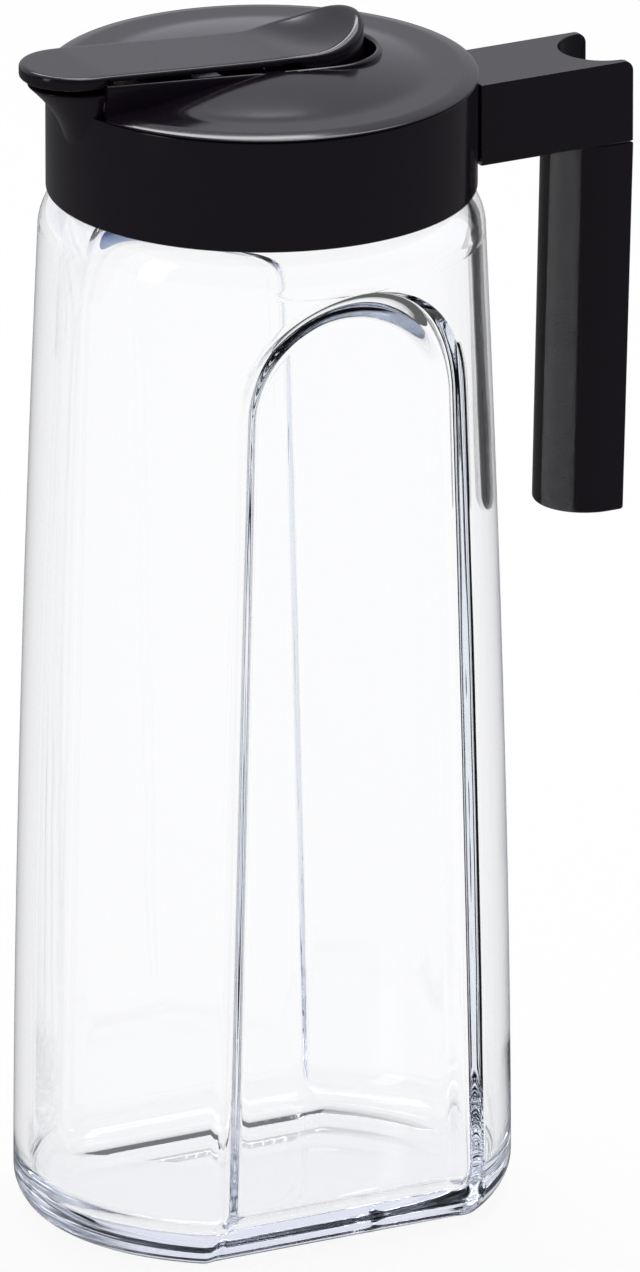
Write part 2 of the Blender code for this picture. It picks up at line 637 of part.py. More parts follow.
def build_flap(finish):
    tip = 0.985  # share of the nose's and the tab's radius where their ends are cut flat
    nose_xs = [-FLAP_NOSE_CENTRE - FLAP_NOSE_RADIUS * c for c, _ in arc((0, 0), tip, 0, 80, 6)]
    middle_xs = [-FENCE_FRONT * i / 5 for i in range(4, 0, -1)]
    tab_start = FLAP_TAB_START + FLAP_TAB_SLOPE
    waist_xs = [0, FLAP_TAB_START / 2, FLAP_TAB_START, FLAP_TAB_START + FLAP_TAB_SLOPE / 2, tab_start]
    tab_xs = [FLAP_TAB_CENTRE + FLAP_TAB_RADIUS * c for c, _ in arc((0, 0), tip, 90, 0, 8)]
    tip_x, end_x = -FLAP_NOSE_CENTRE - FLAP_NOSE_RADIUS, FLAP_TAB_CENTRE + FLAP_TAB_RADIUS
    rings = []
    for x in [*nose_xs, -FENCE_FRONT - SEAT_GAP, -FENCE_FRONT, *middle_xs, *waist_xs, *tab_xs]:
        nose_drop = rounding_drop(x - tip_x, FLAP_EDGE_ROUND)
        tab_drop = rounding_drop(end_x - x, FLAP_TAB_ROUND)
        rings.append(flap_ring(x, max(nose_drop, tab_drop)))
    flap = lofted("spout_flap", rings, finish)

    under = LID_RIM + FENCE_WAIST_RISE + FLAP_DISH / 2
    for label, side in (("left", 1), ("right", -1)):
        outline = arc((0, PIN_HEIGHT), LUG_RADIUS, 180, 360, 8) + [(LUG_RADIUS, under), (-LUG_RADIUS, under)]
        middle = side * (LUG_INNER + LUG_WIDTH / 2)
        combine(flap, bar_along_y(f"{label} lug", outline, LUG_WIDTH / 2, middle), "UNION")
    boss_low = LID_RIM + TROUGH_RISE + SEAT_GAP + SEAL_THICK + SEAT_GAP
    boss_front = STRAINER_FRONT - SEAL_MARGIN
    boss_rear = STRAINER_REAR + SEAL_MARGIN
    boss = plate(
        "seal boss",
        rectangle(-boss_front, -boss_rear, -SEAL_BOSS_HALF, SEAL_BOSS_HALF),
        boss_low,
        lambda x: LID_RIM + (flap_top(x) + flap_bottom(x)) / 2,
    )
    combine(flap, boss, "UNION")
    bore = bar_along_y("lug bore", circle_xz(PIN_RADIUS + SEAT_GAP), LUG_INNER + LUG_WIDTH + OVERRUN / 4)
    combine(flap, bore, "DIFFERENCE")


def build_pin(finish):
    bar_along_y("flap_hinge_pin", circle_xz(PIN_RADIUS), pin_half_length(), finish=finish)


def build_seal(finish):
    front, rear = STRAINER_FRONT + SEAL_MARGIN, STRAINER_REAR - SEAL_MARGIN
    round_off = SEAL_CORNER
    half = SEAL_HALF_WIDTH - round_off
    outline = arc((-rear - round_off, half), round_off, 0, 90, 3)
    outline += arc((-front + round_off, half), round_off, 90, 180, 3)
    outline += arc((-front + round_off, -half), round_off, 180, 270, 3)
    outline += arc((-rear - round_off, -half), round_off, 270, 360, 3)
    low = LID_RIM + TROUGH_RISE + SEAT_GAP
    plate("flap_seal", outline, low, low + SEAL_THICK, finish)


# Handle


def screw_hole(name, x, radius, depth):
    """A hole up from the arm's underside, clear of a screw of that radius."""
    low = ARM_BOTTOM - OVERRUN
    outline = arc((x, 0), radius + SEAT_GAP, 0, 360 * 11 / 12, 11)
    return plate(name, outline, low, ARM_BOTTOM + depth + SEAT_GAP)


def channel_outline(centre_shift, scale, clearance=0.0):
    """Plan of the grip: round towards the jar, with a round groove open at the outer side."""
    centre = GRIP_CENTRE - centre_shift
    half = (ARM_HALF_WIDTH - clearance) * scale
    end = ARM_END - centre_shift
    groove = GROOVE_RADIUS * scale
    groove_centre = GROOVE_CENTRE - centre_shift
    turn = math.degrees(math.acos(min((end - groove_centre) / groove, 1.0)))
    outer = arc((centre, 0), half, 90, 270, 14)
    inner = arc((groove_centre, 0), groove, -turn, -(360 - turn), 14)
    return [(end, half), *outer, (end, -half), *inner]


def build_arm(finish):
    outline = [(ARM_START, ARM_BOTTOM), (ARM_END, ARM_BOTTOM)]
    corner = (ARM_END - ARM_TOP_CORNER, ARM_TOP - ARM_TOP_CORNER)
    outline += arc(corner, ARM_TOP_CORNER, 0, 90, 4) + [(ARM_START, ARM_TOP)]
    arm = bar_along_y("handle_arm", outline, ARM_HALF_WIDTH, finish=finish)
    bevelled(arm, ARM_EDGE, 1)
    groove = arc((GROOVE_CENTRE, 0), GROOVE_RADIUS, 90, 270, 14)
    past_end = ARM_END + OVERRUN
    groove = [(past_end, GROOVE_RADIUS), *groove, (past_end, -GROOVE_RADIUS)]
    combine(arm, plate("arm groove", groove, ARM_BOTTOM - OVERRUN, ARM_TOP + OVERRUN), "DIFFERENCE")
    socket_half = TENON_HALF_WIDTH + SEAT_GAP
    socket = plate(
        "tenon socket",
        rectangle(ARM_START - OVERRUN, ARM_START + TENON_LENGTH + SEAT_GAP, -socket_half, socket_half),
        ARM_BOTTOM + TENON_INSET - SEAT_GAP,
        ARM_TOP - TENON_INSET + SEAT_GAP,
    )
    combine(arm, socket, "DIFFERENCE")
    slot_in = GRIP_CENTRE - ARM_HALF_WIDTH + TONGUE_SETBACK
    slot_half = TONGUE_HALF_WIDTH + SEAT_GAP
    slot = plate(
        "tongue slot",
        rectangle(slot_in - SEAT_GAP, slot_in + TONGUE_THICK + SEAT_GAP, -slot_half, slot_half),
        ARM_BOTTOM - OVERRUN,
        ARM_BOTTOM + TONGUE_HEIGHT,
    )
    combine(arm, slot, "DIFFERENCE")
    for name, offset in SCREW_OFFSETS.items():
        x = ARM_START + offset
        through = screw_hole(f"{name} clearance", x, SCREW_SHANK_RADIUS, TENON_INSET)
        combine(arm, through, "DIFFERENCE")
        head = screw_hole(f"{name} recess", x, SCREW_HEAD_RADIUS, SCREW_HEAD_HEIGHT + SEAT_GAP)
        combine(arm, head, "DIFFERENCE")


def build_grip(finish):
    top = ARM_BOTTOM - SEAT_GAP
    bottom = top - GRIP_LENGTH
    rings = []
    for height, inset in ((bottom, GRIP_END_ROUND), (bottom + GRIP_END_ROUND, 0.0), (top, 0.0)):
        share = (top - height) / GRIP_LENGTH
        scale = between(1.0, GRIP_TAPER_SHARE, share)
        outline = channel_outline(GRIP_LEAN * share, scale, inset)
        rings.append([Vector((x, y, height)) for x, y in outline])
    grip = lofted("handle_grip", rings, finish)
    tongue_in = GRIP_CENTRE - ARM_HALF_WIDTH + TONGUE_SETBACK
    tongue = plate(
        "grip tongue",
        rectangle(tongue_in, tongue_in + TONGUE_THICK, -TONGUE_HALF_WIDTH, TONGUE_HALF_WIDTH),
        top - TONGUE_HEIGHT / 2,
        ARM_BOTTOM + TONGUE_HEIGHT - SEAT_GAP,
    )
    combine(grip, tongue, "UNION")


def build_screws(finish):
    low = SEAT_GAP
    head_top = low + SCREW_HEAD_HEIGHT
    point = low + SCREW_LENGTH
    profile = [
        (0, point),
        (SCREW_SHANK_RADIUS / 3, point),
        (SCREW_SHANK_RADIUS, point - SCREW_SHANK_RADIUS),
        (SCREW_SHANK_RADIUS, head_top),
        (SCREW_HEAD_RADIUS, head_top),
        (SCREW_HEAD_RADIUS, low),
        (0, low),
    ]
    for name, offset in SCREW_OFFSETS.items():
        screw = turned(name, profile, finish, steps=SMALL_TURN_STEPS, closed=False)
        screw.location = (ARM_START + offset, 0, ARM_BOTTOM)


def build_moving_frames():
    """Empties on the joints: the flap rocks about its pin, the lid lifts out, and the collar comes off upwards."""
    frames = {}
    for name, height in (("collar_frame", COLLAR_BOTTOM), ("lid_frame", LID_UNDERSIDE), ("flap_frame", PIN_HEIGHT)):
        frame = bpy.data.objects.new(name, None)
        bpy.context.scene.collection.objects.link(frame)
        frame.location = (0, 0, height)
        frames[name] = frame
    members = {
        "collar_frame": ["pour_collar", "neck_gasket", "handle_arm", "handle_grip", *SCREW_OFFSETS],
        "lid_frame": ["lid_disc", "lid_gasket", "flap_hinge_pin"],
        "flap_frame": ["spout_flap", "flap_seal"],
    }
    for name, pieces in members.items():
        for piece in pieces:
            child = bpy.data.objects[piece]
            child.parent = frames[name]
            child.matrix_parent_inverse = Matrix.Translation(-frames[name].location)


def main():
    for old in list(bpy.data.objects):
        bpy.data.objects.remove(old, do_unlink=True)
    glass = material("clear pressed glass", (0.86, 0.90, 0.92), 0.03, transmission=1.0)
    plastic = material("black moulded plastic", (0.014, 0.012, 0.015), 0.32)
    silicone = material("white silicone rubber", (0.70, 0.70, 0.68), 0.55)
    steel = material("stainless steel", (0.62, 0.62, 0.60), 0.30)
    steel.node_tree.nodes["Principled BSDF"].inputs["Metallic"].default_value = 1.0

    build_jar(glass)
    build_neck_gasket(silicone)
    build_collar(plastic)
    build_lid(plastic)
    build_lid_gasket(silicone)
    build_flap(plastic)
    build_pin(steel)
    build_seal(silicone)
    build_arm(plastic)
    build_grip(plastic)
    build_screws(steel)
    build_moving_frames()


main()
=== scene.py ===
"""Dresses a water pitcher: a clear glass jar with a black pour collar, lid, rocking flap and handle."""

import math

import bmesh
import bpy
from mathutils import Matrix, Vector


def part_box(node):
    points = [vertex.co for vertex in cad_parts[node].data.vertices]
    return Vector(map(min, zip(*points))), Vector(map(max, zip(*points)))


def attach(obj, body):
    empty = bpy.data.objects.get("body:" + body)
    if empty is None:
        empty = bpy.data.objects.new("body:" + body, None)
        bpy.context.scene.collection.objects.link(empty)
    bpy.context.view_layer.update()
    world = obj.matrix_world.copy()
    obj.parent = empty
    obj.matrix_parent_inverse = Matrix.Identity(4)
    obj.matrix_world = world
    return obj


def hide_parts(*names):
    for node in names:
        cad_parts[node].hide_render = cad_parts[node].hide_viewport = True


bl_info = {
    "name": "Water Pitcher Looks",
    "version": (1, 0, 0),
    "blender": (4, 5, 0),
    "location": "View3D > Sidebar > Pitcher",
    "description": "Builds the visible pieces and finishes of a glass water pitcher over its CAD solids",
    "category": "Object",
}

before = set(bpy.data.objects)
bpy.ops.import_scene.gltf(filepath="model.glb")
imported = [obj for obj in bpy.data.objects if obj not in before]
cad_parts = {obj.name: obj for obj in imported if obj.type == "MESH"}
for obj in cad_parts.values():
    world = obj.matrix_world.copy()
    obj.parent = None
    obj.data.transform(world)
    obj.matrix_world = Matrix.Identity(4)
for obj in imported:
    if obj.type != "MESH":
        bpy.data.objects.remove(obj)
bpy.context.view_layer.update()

MM = 0.001

# Heights that the pieces share, taken from the solids
JAR_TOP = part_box("glass_jar")[1][2]
COLLAR_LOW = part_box("pour_collar")[0][2]
PIN_HEIGHT = (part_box("flap_hinge_pin")[0][2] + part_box("flap_hinge_pin")[1][2]) / 2
LID_RIM = PIN_HEIGHT - 1.2 * MM  # the level that the lid's heights are given from
ARM_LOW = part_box("handle_arm")[0][2]
ARM_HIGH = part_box("handle_arm")[1][2]
ARM_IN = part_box("handle_arm")[0][0]
ARM_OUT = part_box("handle_arm")[1][0]

# The jar's section from the foot to the shoulder
HEEL_ROUND = 10.5 * MM
SHOULDER_START = JAR_TOP - 31.86 * MM
SHOULDER_ROUND = 12.0 * MM
SHOULDER_RADIUS = 51.9 * MM
FOOT_RADIUS = 59.4 * MM
NARROW_SHARE = 0.0926  # of the oval foot's radius, by which its narrow side is shorter
NECK_FOOT = JAR_TOP - 21.3 * MM
NECK_RADIUS = 45.6 * MM
PANEL_FLAT = 42.5 * MM  # from the jar's axis to the panels
ARCH_SPRING = JAR_TOP - 65.27 * MM

# The collar and spout
COLLAR_RADIUS = 50.0 * MM
COLLAR_BORE = 47.2 * MM
DECK_BORE = 38.0 * MM
SPOUT_DROP = 12.5 * MM  # of the spout's point under the lid's rim
SPOUT_RISE = 5.0 * MM  # of its lip over the lid's rim
SPOUT_HEIGHT = 17.5 * MM
SPOUT_HALF = 12.5 * MM
SPOUT_REACH = 10.4 * MM  # past the collar
SPOUT_ROOT = 0.8 * MM  # how far its edges sink into the collar
SPOUT_WALL = 2.0 * MM

# The lid, fence and flap
LID_RADIUS = 50.2 * MM
DOME_CAP = 36.5 * MM
DOME_FOOT = 40.5 * MM
PLUG_RADIUS = 37.6 * MM
PLUG_BORE = 33.8 * MM
FENCE_FRONT = 46.8 * MM
FENCE_HALF = 13.0 * MM
FENCE_WALL = 1.6 * MM
FENCE_WAIST = 4.0 * MM
WELL_CENTRE = 13.3 * MM
WELL_RADIUS = 16.2 * MM
WELL_FRONT = 12.0 * MM
WELL_DROP = 7.2 * MM
NOSE_CENTRE = 49.0 * MM
NOSE_RADIUS = 12.6 * MM
WAIST_HALF = 11.9 * MM
TAB_CENTRE = 11.1 * MM
TAB_RADIUS = 13.8 * MM
TAB_END = 24.9 * MM

# The handle
BAR_HALF = 12.5 * MM
GRIP_OUT = 91.1 * MM  # from the jar's axis to the grip's outer side, at its top
GROOVE_RADIUS = 10.6 * MM
GROOVE_CENTRE = 89.8 * MM
TENON_HALF = 8.5 * MM
SCREW_OFFSETS = {"arm_screw_inner": 3.5 * MM, "arm_screw_outer": 10.5 * MM}  # from the arm's inner end


def sized(name, description, millimetres, low=0.1, high=500.0):
    """A length property with its default given in millimetres."""
    return bpy.props.FloatProperty(
        name=name,
        description=description,
        default=millimetres * MM,
        min=low * MM,
        max=high * MM,
        unit="LENGTH",
        subtype="DISTANCE",
        precision=4,
    )


def linear(hex_code):
    """An sRGB hex colour as linear red, green, blue and alpha."""
    parts = [int(hex_code[i : i + 2], 16) / 255 for i in (1, 3, 5)]
    return (*[p / 12.92 if p <= 0.04045 else ((p + 0.055) / 1.055) ** 2.4 for p in parts], 1.0)


def coloured(name, description, hex_code):
    """A colour property with its default given as an sRGB hex value."""
    return bpy.props.FloatVectorProperty(
        name=name,
        description=description,
        default=linear(hex_code)[:3],
        size=3,
        min=0.0,
        max=1.0,
        subtype="COLOR",
    )


class PitcherSizes(bpy.types.PropertyGroup):
    """Sizes of the visible forms that a user may want to change."""

    wall: sized("Glass wall", "Thickness of the jar's wall", 3.5, 1.5, 6.0)
    floor: sized("Glass floor", "Thickness of the jar's floor", 8.0, 3.0, 20.0)
    ledge: sized("Panel ledge", "Width of the ledge round the arched panels", 4.0, 1.0, 8.0)
    thread_rise: sized("Thread rise", "How far the glass thread stands out from the neck", 0.9, 0.3, 1.0)
    plastic_edge: sized("Plastic edge", "Rounding of the plastic pieces' crisp edges", 0.35, 0.1, 1.0)
    tab_round: sized("Tab rounding", "Rounding along the rear end of the flap's tab", 2.6, 0.5, 4.0)
    fence_round: sized("Fence rounding", "Rounding along the fence's top edge", 0.75, 0.2, 0.78)
    dish: sized("Tab dish", "Depth of the hollow in the flap's top", 1.2, 0.0, 2.5)


class PitcherColours(bpy.types.PropertyGroup):
    """Colours of the finishes."""

    plastic: coloured("Plastic", "Colour of the moulded plastic pieces", "#150F17")
    glass: coloured("Glass tint", "Faint colour that thick glass takes on", "#E2E8F2")
    silicone: coloured("Silicone", "Colour of the gaskets and the seal", "#DAD9D4")
    steel: coloured("Steel", "Colour of the pin and the screws", "#C9C9C6")
    floor: coloured("Floor", "Colour of the floor that the pitcher stands on", "#F8F8F8")


# Mesh making


def fine(count):
    return count


def between(first, last, share):
    return first + (last - first) * share


def eased(share):
    share = min(max(share, 0.0), 1.0)
    return share * share * (3 - 2 * share)


def arc(centre, radius, start, end, steps):
    """Points on an arc in a plane, angles in degrees, ends included."""
    angles = [math.radians(between(start, end, i / steps)) for i in range(steps + 1)]
    return [(centre[0] + radius * math.cos(a), centre[1] + radius * math.sin(a)) for a in angles]


def mesh_object(name, work, edge_angle=35):
    """Turns mesh work into an object, smooth but for edges sharper than an angle."""
    bmesh.ops.remove_doubles(work, verts=work.verts, dist=0.5e-6)
    bmesh.ops.recalc_face_normals(work, faces=work.faces)
    mesh = bpy.data.meshes.new(name)
    work.to_mesh(mesh)
    work.free()
    made = bpy.data.objects.new(name, mesh)
    bpy.context.scene.collection.objects.link(made)
    soften(made, edge_angle)
    return made


def soften(made, edge_angle=35):
    """Shades an object smooth, and keeps the edges sharper than an angle."""
    made.data.shade_smooth()
    made.data.set_sharp_from_angle(angle=math.radians(edge_angle))


def skinned(rings):
    """Mesh work that joins rings of equal count with faces, and its levels of vertices."""
    work = bmesh.new()
    levels = [[work.verts.new(point) for point in ring] for ring in rings]
    for lower, upper in zip(levels, levels[1:]):
        for i, corner in enumerate(lower):
            j = (i + 1) % len(lower)
            work.faces.new((corner, lower[j], upper[j], upper[i]))
    return work, levels


def lofted(name, rings, edge_angle=35, capped=True):
    """Skins rings of equal count, from the first to the last, with flat ends."""
    work, levels = skinned(rings)
    if capped:
        work.faces.new(levels[0])
        work.faces.new(levels[-1])
    return mesh_object(name, work, edge_angle)


def turned(name, profile, steps=192, edge_angle=35, closed=True):
    """Spins a profile of (radius, height) points about Z; an open one starts and ends on the axis."""
    steps = fine(steps)
    work = bmesh.new()
    columns = []
    for i in range(steps):
        angle = math.tau * i / steps
        turn = (math.cos(angle), math.sin(angle))
        columns.append([work.verts.new((r * turn[0], r * turn[1], z)) for r, z in profile])
    for i, column in enumerate(columns):
        following = columns[(i + 1) % steps]
        count = len(column) if closed else len(column) - 1
        for k in range(count):
            m = (k + 1) % len(column)
            work.faces.new((column[k], following[k], following[m], column[m]))
    bmesh.ops.remove_doubles(work, verts=work.verts, dist=0.5e-6)
    bmesh.ops.dissolve_degenerate(work, edges=work.edges, dist=0.5e-6)
    return mesh_object(name, work, edge_angle)


def rounded(profile, radii, steps=5):
    """A closed profile whose corners are rounded, each by its own radius."""
    points = []
    count = len(profile)
    for i, corner in enumerate(profile):
        radius = radii[i]
        here = Vector(corner)
        if not radius:
            points.append(tuple(here))
            continue
        before = Vector(profile[i - 1]) - here
        after = Vector(profile[(i + 1) % count]) - here
        half = before.angle(after) / 2
        reach = min(radius / math.tan(half), before.length * 0.49, after.length * 0.49)
        start, end = here + before.normalized() * reach, here + after.normalized() * reach
        for k in range(steps + 1):
            t = k / steps
            point = start * (1 - t) ** 2 + here * 2 * t * (1 - t) + end * t**2
            points.append(tuple(point))
    return points


def cut(target, cutter, operation="DIFFERENCE"):
    """Applies a Boolean with another object at once, and removes that object."""
    step = target.modifiers.new("shape", "BOOLEAN")
    step.operation = operation
    step.solver = "EXACT"
    step.object = cutter
    apply_steps(target)
    bpy.data.objects.remove(cutter, do_unlink=True)


def apply_steps(made):
    """Replaces an object's mesh by what its modifiers make of it."""
    ready = bpy.context.evaluated_depsgraph_get()
    mesh = bpy.data.meshes.new_from_object(made.evaluated_get(ready))
    made.modifiers.clear()
    made.data = mesh


def edged(made, width, edge_angle=40):
    """Rounds an object's crisp edges and shades it."""
    step = made.modifiers.new("edges", "BEVEL")
    step.width = width
    step.segments = 3
    step.limit_method = "ANGLE"
    step.angle_limit = math.radians(edge_angle)
    step.miter_outer = "MITER_ARC"
    apply_steps(made)
    soften(made)
    weights = made.modifiers.new("flat shading", "WEIGHTED_NORMAL")
    weights.keep_sharp = True
    weights.weight = 100
    apply_steps(made)


def plate(name, outline, low, high):
    """A solid over an XY outline, between two heights that are numbers or functions of x."""
    low_at = low if callable(low) else lambda x: low
    high_at = high if callable(high) else lambda x: high
    return lofted(name, [[Vector((x, y, level(x))) for x, y in outline] for level in (low_at, high_at)])


def bar_along_y(name, outline, half_width, middle=0.0):
    """A solid over an XZ outline, of a given half width in Y."""
    sides = (middle - half_width, middle + half_width)
    return lofted(name, [[Vector((x, side, z)) for x, z in outline] for side in sides])


def box_plate(name, x_range, half, low, high):
    """A solid over a rectangle that is centred in Y."""
    near, far = x_range
    return plate(name, [(near, -half), (far, -half), (far, half), (near, half)], low, high)


# Materials


def dial(made, **settings):
    """Sets a node's properties and socket values by name."""
    for key, value in settings.items():
        if hasattr(made, key):
            setattr(made, key, value)
        else:
            made.inputs[key.replace("_", " ")].default_value = value


def node(tree, kind, links=(), **settings):
    """Adds a node with its settings, and links sockets to it."""
    made = tree.nodes.new(kind)
    dial(made, **settings)
    for source, socket in links:
        tree.links.new(source, made.inputs[socket])
    return made


def finish(name):
    """A new material, its node tree, its Principled shader and its output."""
    made = bpy.data.materials.new(name)
    made.use_nodes = True
    tree = made.node_tree
    return made, tree, tree.nodes["Principled BSDF"], tree.nodes["Material Output"]


def moulded_plastic(colour):
    """Black ABS, injection moulded in a polished tool."""
    # Gloss black: thin crisp highlights along edges over a nearly black body; slow waves of 6 mm, left
    # by shrinkage as the plastic cools, bend long reflections a little
    made, tree, shader, output = finish("black moulded ABS")
    place = node(tree, "ShaderNodeTexCoord")
    spot = [(place.outputs["Object"], "Vector")]
    waves = node(tree, "ShaderNodeTexNoise", spot, Scale=1 / (6 * MM), Detail=1.0)
    value = [(waves.outputs["Fac"], "Value")]
    spread = node(tree, "ShaderNodeMapRange", value, To_Min=0.12, To_Max=0.15)
    tree.links.new(spread.outputs["Result"], shader.inputs["Roughness"])
    height = [(waves.outputs["Fac"], "Height")]
    bump = node(tree, "ShaderNodeBump", height, Strength=0.05, Distance=0.02 * MM)
    tree.links.new(bump.outputs["Normal"], shader.inputs["Normal"])
    dial(shader, Base_Color=(*colour, 1.0), IOR=1.53)
    return made


def pressed_glass(tint):
    """Clear soda-lime glass, pressed in a mould and fire polished."""
    # Bright and clear with grey-blue edges; the mould leaves slow waves of some 3 cm in the surface
    made, tree, shader, output = finish("clear pressed soda-lime glass")
    place = node(tree, "ShaderNodeTexCoord")
    spot = [(place.outputs["Object"], "Vector")]
    waves = node(tree, "ShaderNodeTexNoise", spot, Scale=1 / (28 * MM), Detail=1.0)
    height = [(waves.outputs["Fac"], "Height")]
    bump = node(tree, "ShaderNodeBump", height, Strength=0.25, Distance=0.25 * MM)
    tree.links.new(bump.outputs["Normal"], shader.inputs["Normal"])
    dial(shader, Base_Color=(1.0, 1.0, 1.0, 1.0), Roughness=0.0, IOR=1.52, Transmission_Weight=1.0)
    depth = node(tree, "ShaderNodeVolumeAbsorption", Density=7.0)
    depth.inputs["Color"].default_value = (*tint, 1.0)
    tree.links.new(depth.outputs["Volume"], output.inputs["Volume"])
    return made


def silicone_rubber(colour):
    """White silicone rubber, compression moulded."""
    # Soft and matt, with a fine grain of about 0.2 mm and a little light inside
    made, tree, shader, output = finish("white moulded silicone rubber")
    place = node(tree, "ShaderNodeTexCoord")
    spot = [(place.outputs["Object"], "Vector")]
    grain = node(tree, "ShaderNodeTexNoise", spot, Scale=1 / (0.2 * MM))
    height = [(grain.outputs["Fac"], "Height")]
    bump = node(tree, "ShaderNodeBump", height, Strength=0.1, Distance=0.02 * MM)
    tree.links.new(bump.outputs["Normal"], shader.inputs["Normal"])
    dial(shader, Base_Color=(*colour, 1.0), Roughness=0.55, IOR=1.41)
    depth = (1.2 * MM, 1.1 * MM, 1.0 * MM)
    dial(shader, Subsurface_Weight=0.15, Subsurface_Radius=depth, Subsurface_Scale=1.0)
    return made


def drawn_steel(colour):
    """Stainless steel, cold drawn and left plain."""
    # Bright metal with fine lines of 0.1 mm round the wire, from drawing and heading
    made, tree, shader, output = finish("plain drawn stainless steel")
    dial(shader, Metallic=1.0, Base_Color=(*colour, 1.0))
    place = node(tree, "ShaderNodeTexCoord")
    spot = [(place.outputs["Object"], "Vector")]
    lines = node(tree, "ShaderNodeTexNoise", spot, Scale=1 / (0.1 * MM))
    value = [(lines.outputs["Fac"], "Value")]
    spread = node(tree, "ShaderNodeMapRange", value, To_Min=0.18, To_Max=0.32)
    tree.links.new(spread.outputs["Result"], shader.inputs["Roughness"])
    return made


def shared_finish(slot):
    """The finish for one of the record's slots, made the first time that it is asked for."""
    colours = bpy.context.scene.pitcher_colours
    name, maker, colour = {
        "black_plastic": ("black moulded ABS", moulded_plastic, colours.plastic),
        "glass": ("clear pressed soda-lime glass", pressed_glass, colours.glass),
        "silicone": ("white moulded silicone rubber", silicone_rubber, colours.silicone),
        "steel": ("plain drawn stainless steel", drawn_steel, colours.steel),
    }[slot]
    return bpy.data.materials.get(name) or maker(colour)


def dressed(made, slot, body):
    """Gives a finished piece the material for one of the record's slots, and the body that carries it.
    """
    made.data.materials.clear()
    made.data.materials.append(shared_finish(slot))
    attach(made, body)


def refinished(cad_node, slot):
    """Gives a CAD solid that stays a better material."""
    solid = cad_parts[cad_node]
    solid.data.materials.clear()
    solid.data.materials.append(shared_finish(slot))


# Jar


def flare(height):
    """1 at the foot, 0 from the shoulder up."""
    share = min(max((height - HEEL_ROUND) / (SHOULDER_START - HEEL_ROUND), 0.0), 1.0)
    return 1 - share**1.6


def wall_radius(height):
    """Outer radius of the jar's wall along its length, which flares down to the foot."""
    return between(SHOULDER_RADIUS, FOOT_RADIUS, flare(height))


def quarter_drop(distance, radius):
    """How far a quarter round pulls in at a distance past its start."""
    inside = min(max(distance, 0.0), radius)
    return radius - math.sqrt(max(radius * radius - inside * inside, 0.0))


def panel_edge(border, grow):
    """Half widths at the base and the spring, and the rise, of a panel's border or of its flat."""
    sizes = (35.6 * MM, 30.2 * MM, 32.3 * MM) if border else (31.5 * MM, 26.2 * MM, 26.2 * MM)
    return [size + grow for size in sizes]


def panel_half(height, edge):
    """Half width at a height inside a panel's edge: straight sides, then an arch."""
    foot, spring, rise = edge
    if height <= ARCH_SPRING:
        return between(foot, spring, max(height, 0.0) / ARCH_SPRING)
    up = min((height - ARCH_SPRING) / rise, 1.0)
    return spring * math.sqrt(1 - up * up)


def ledge_share(x, height, border, flat):
    """0 on the panel's border, 1 where its ledge has come down to the flat."""
    if height <= ARCH_SPRING:
        outer, inner, here = panel_half(height, border), panel_half(height, flat), abs(x)
    else:
        up = height - ARCH_SPRING
        here = math.hypot(x, up)
        outer = here / math.hypot(x / border[1], up / border[2])
        inner = here / math.hypot(x / flat[1], up / flat[2])
    return min(max((outer - here) / (outer - inner), 0.0), 1.0)


def jar_ring(height, radius, sunk, border, flat, profile):
    """One level of the jar's skin, always with as many points: two arched panels in an oval wall."""
    squeeze = 1 - NARROW_SHARE * flare(height)
    arch_top = ARCH_SPRING + border[2]
    half = panel_half(height, border) if height < arch_top else 0.0
    flat_steps, ledge_steps, wall_steps = 16, 16, 30
    inner = max(panel_half(height, flat), half * 0.35)
    # Over the arch's top the points spread out evenly, over an angle and a height that hide the change
    spread = math.radians(32)
    mix = eased((height - arch_top + 2 * MM) / (6 * MM))
    quarter = []
    for i in range(flat_steps + ledge_steps):
        if i < flat_steps:
            x = inner * i / flat_steps
        else:
            x = between(inner, half, (i - flat_steps) / ledge_steps)
        angle = spread * i / (flat_steps + ledge_steps)
        if half > 0:
            if mix > 0:
                x = between(x, min(radius * math.sin(angle), half), mix)
            y = squeeze * math.sqrt(max(radius**2 - x * x, 0.0))
            if y > sunk:
                y = between(y, sunk, profile(ledge_share(x, height, border, flat)))
        else:
            x, y = radius * math.sin(angle * mix), squeeze * radius * math.cos(angle * mix)
        quarter.append((x, y))
    start = math.asin(min(half / radius, 1.0)) if half > 0 else spread * mix
    for i in range(wall_steps):
        angle = between(start, math.pi / 2, i / wall_steps)
        quarter.append((radius * math.sin(angle), squeeze * radius * math.cos(angle)))
    first = quarter + [(radius, 0.0)]
    right = first + [(x, -y) for x, y in reversed(quarter)]
    left = [(-x, y) for x, y in reversed(right[1:-1])]
    return [Vector((x, y, height)) for x, y in right + left]


def jar_levels(floor, heel, top_radius, inset, arch_top):
    """Heights and radii of the jar's skin, from the rounded heel to the shoulder's end."""
    foot = wall_radius(0) - inset
    levels = []
    for i in range(1, 13):
        angle = math.pi / 2 * i / 12
        levels.append((floor + heel * (1 - math.cos(angle)), foot - heel * (1 - math.sin(angle))))
    heights = [floor + heel + 4 * MM * i for i in range(1, 200)]
    heights = [h for h in heights if h < ARCH_SPRING - 2 * MM]
    rise = arch_top - ARCH_SPRING
    heights += [ARCH_SPRING + rise * math.sin(math.pi / 2 * i / 40) for i in range(40)]
    heights += [arch_top - 0.01 * MM, arch_top + 0.2 * MM, arch_top + 0.6 * MM]
    heights = [h for h in heights if h < SHOULDER_START - 0.2 * MM]
    levels += [(h, wall_radius(h) - inset) for h in heights]
    shoulder = SHOULDER_ROUND - inset
    centre = SHOULDER_RADIUS - SHOULDER_ROUND
    end = math.acos(min(max((top_radius - centre) / shoulder, 0.0), 1.0))
    for i in range(15):
        angle = end * i / 14
        levels.append((SHOULDER_START + shoulder * math.sin(angle), centre + shoulder * math.cos(angle)))
    return levels


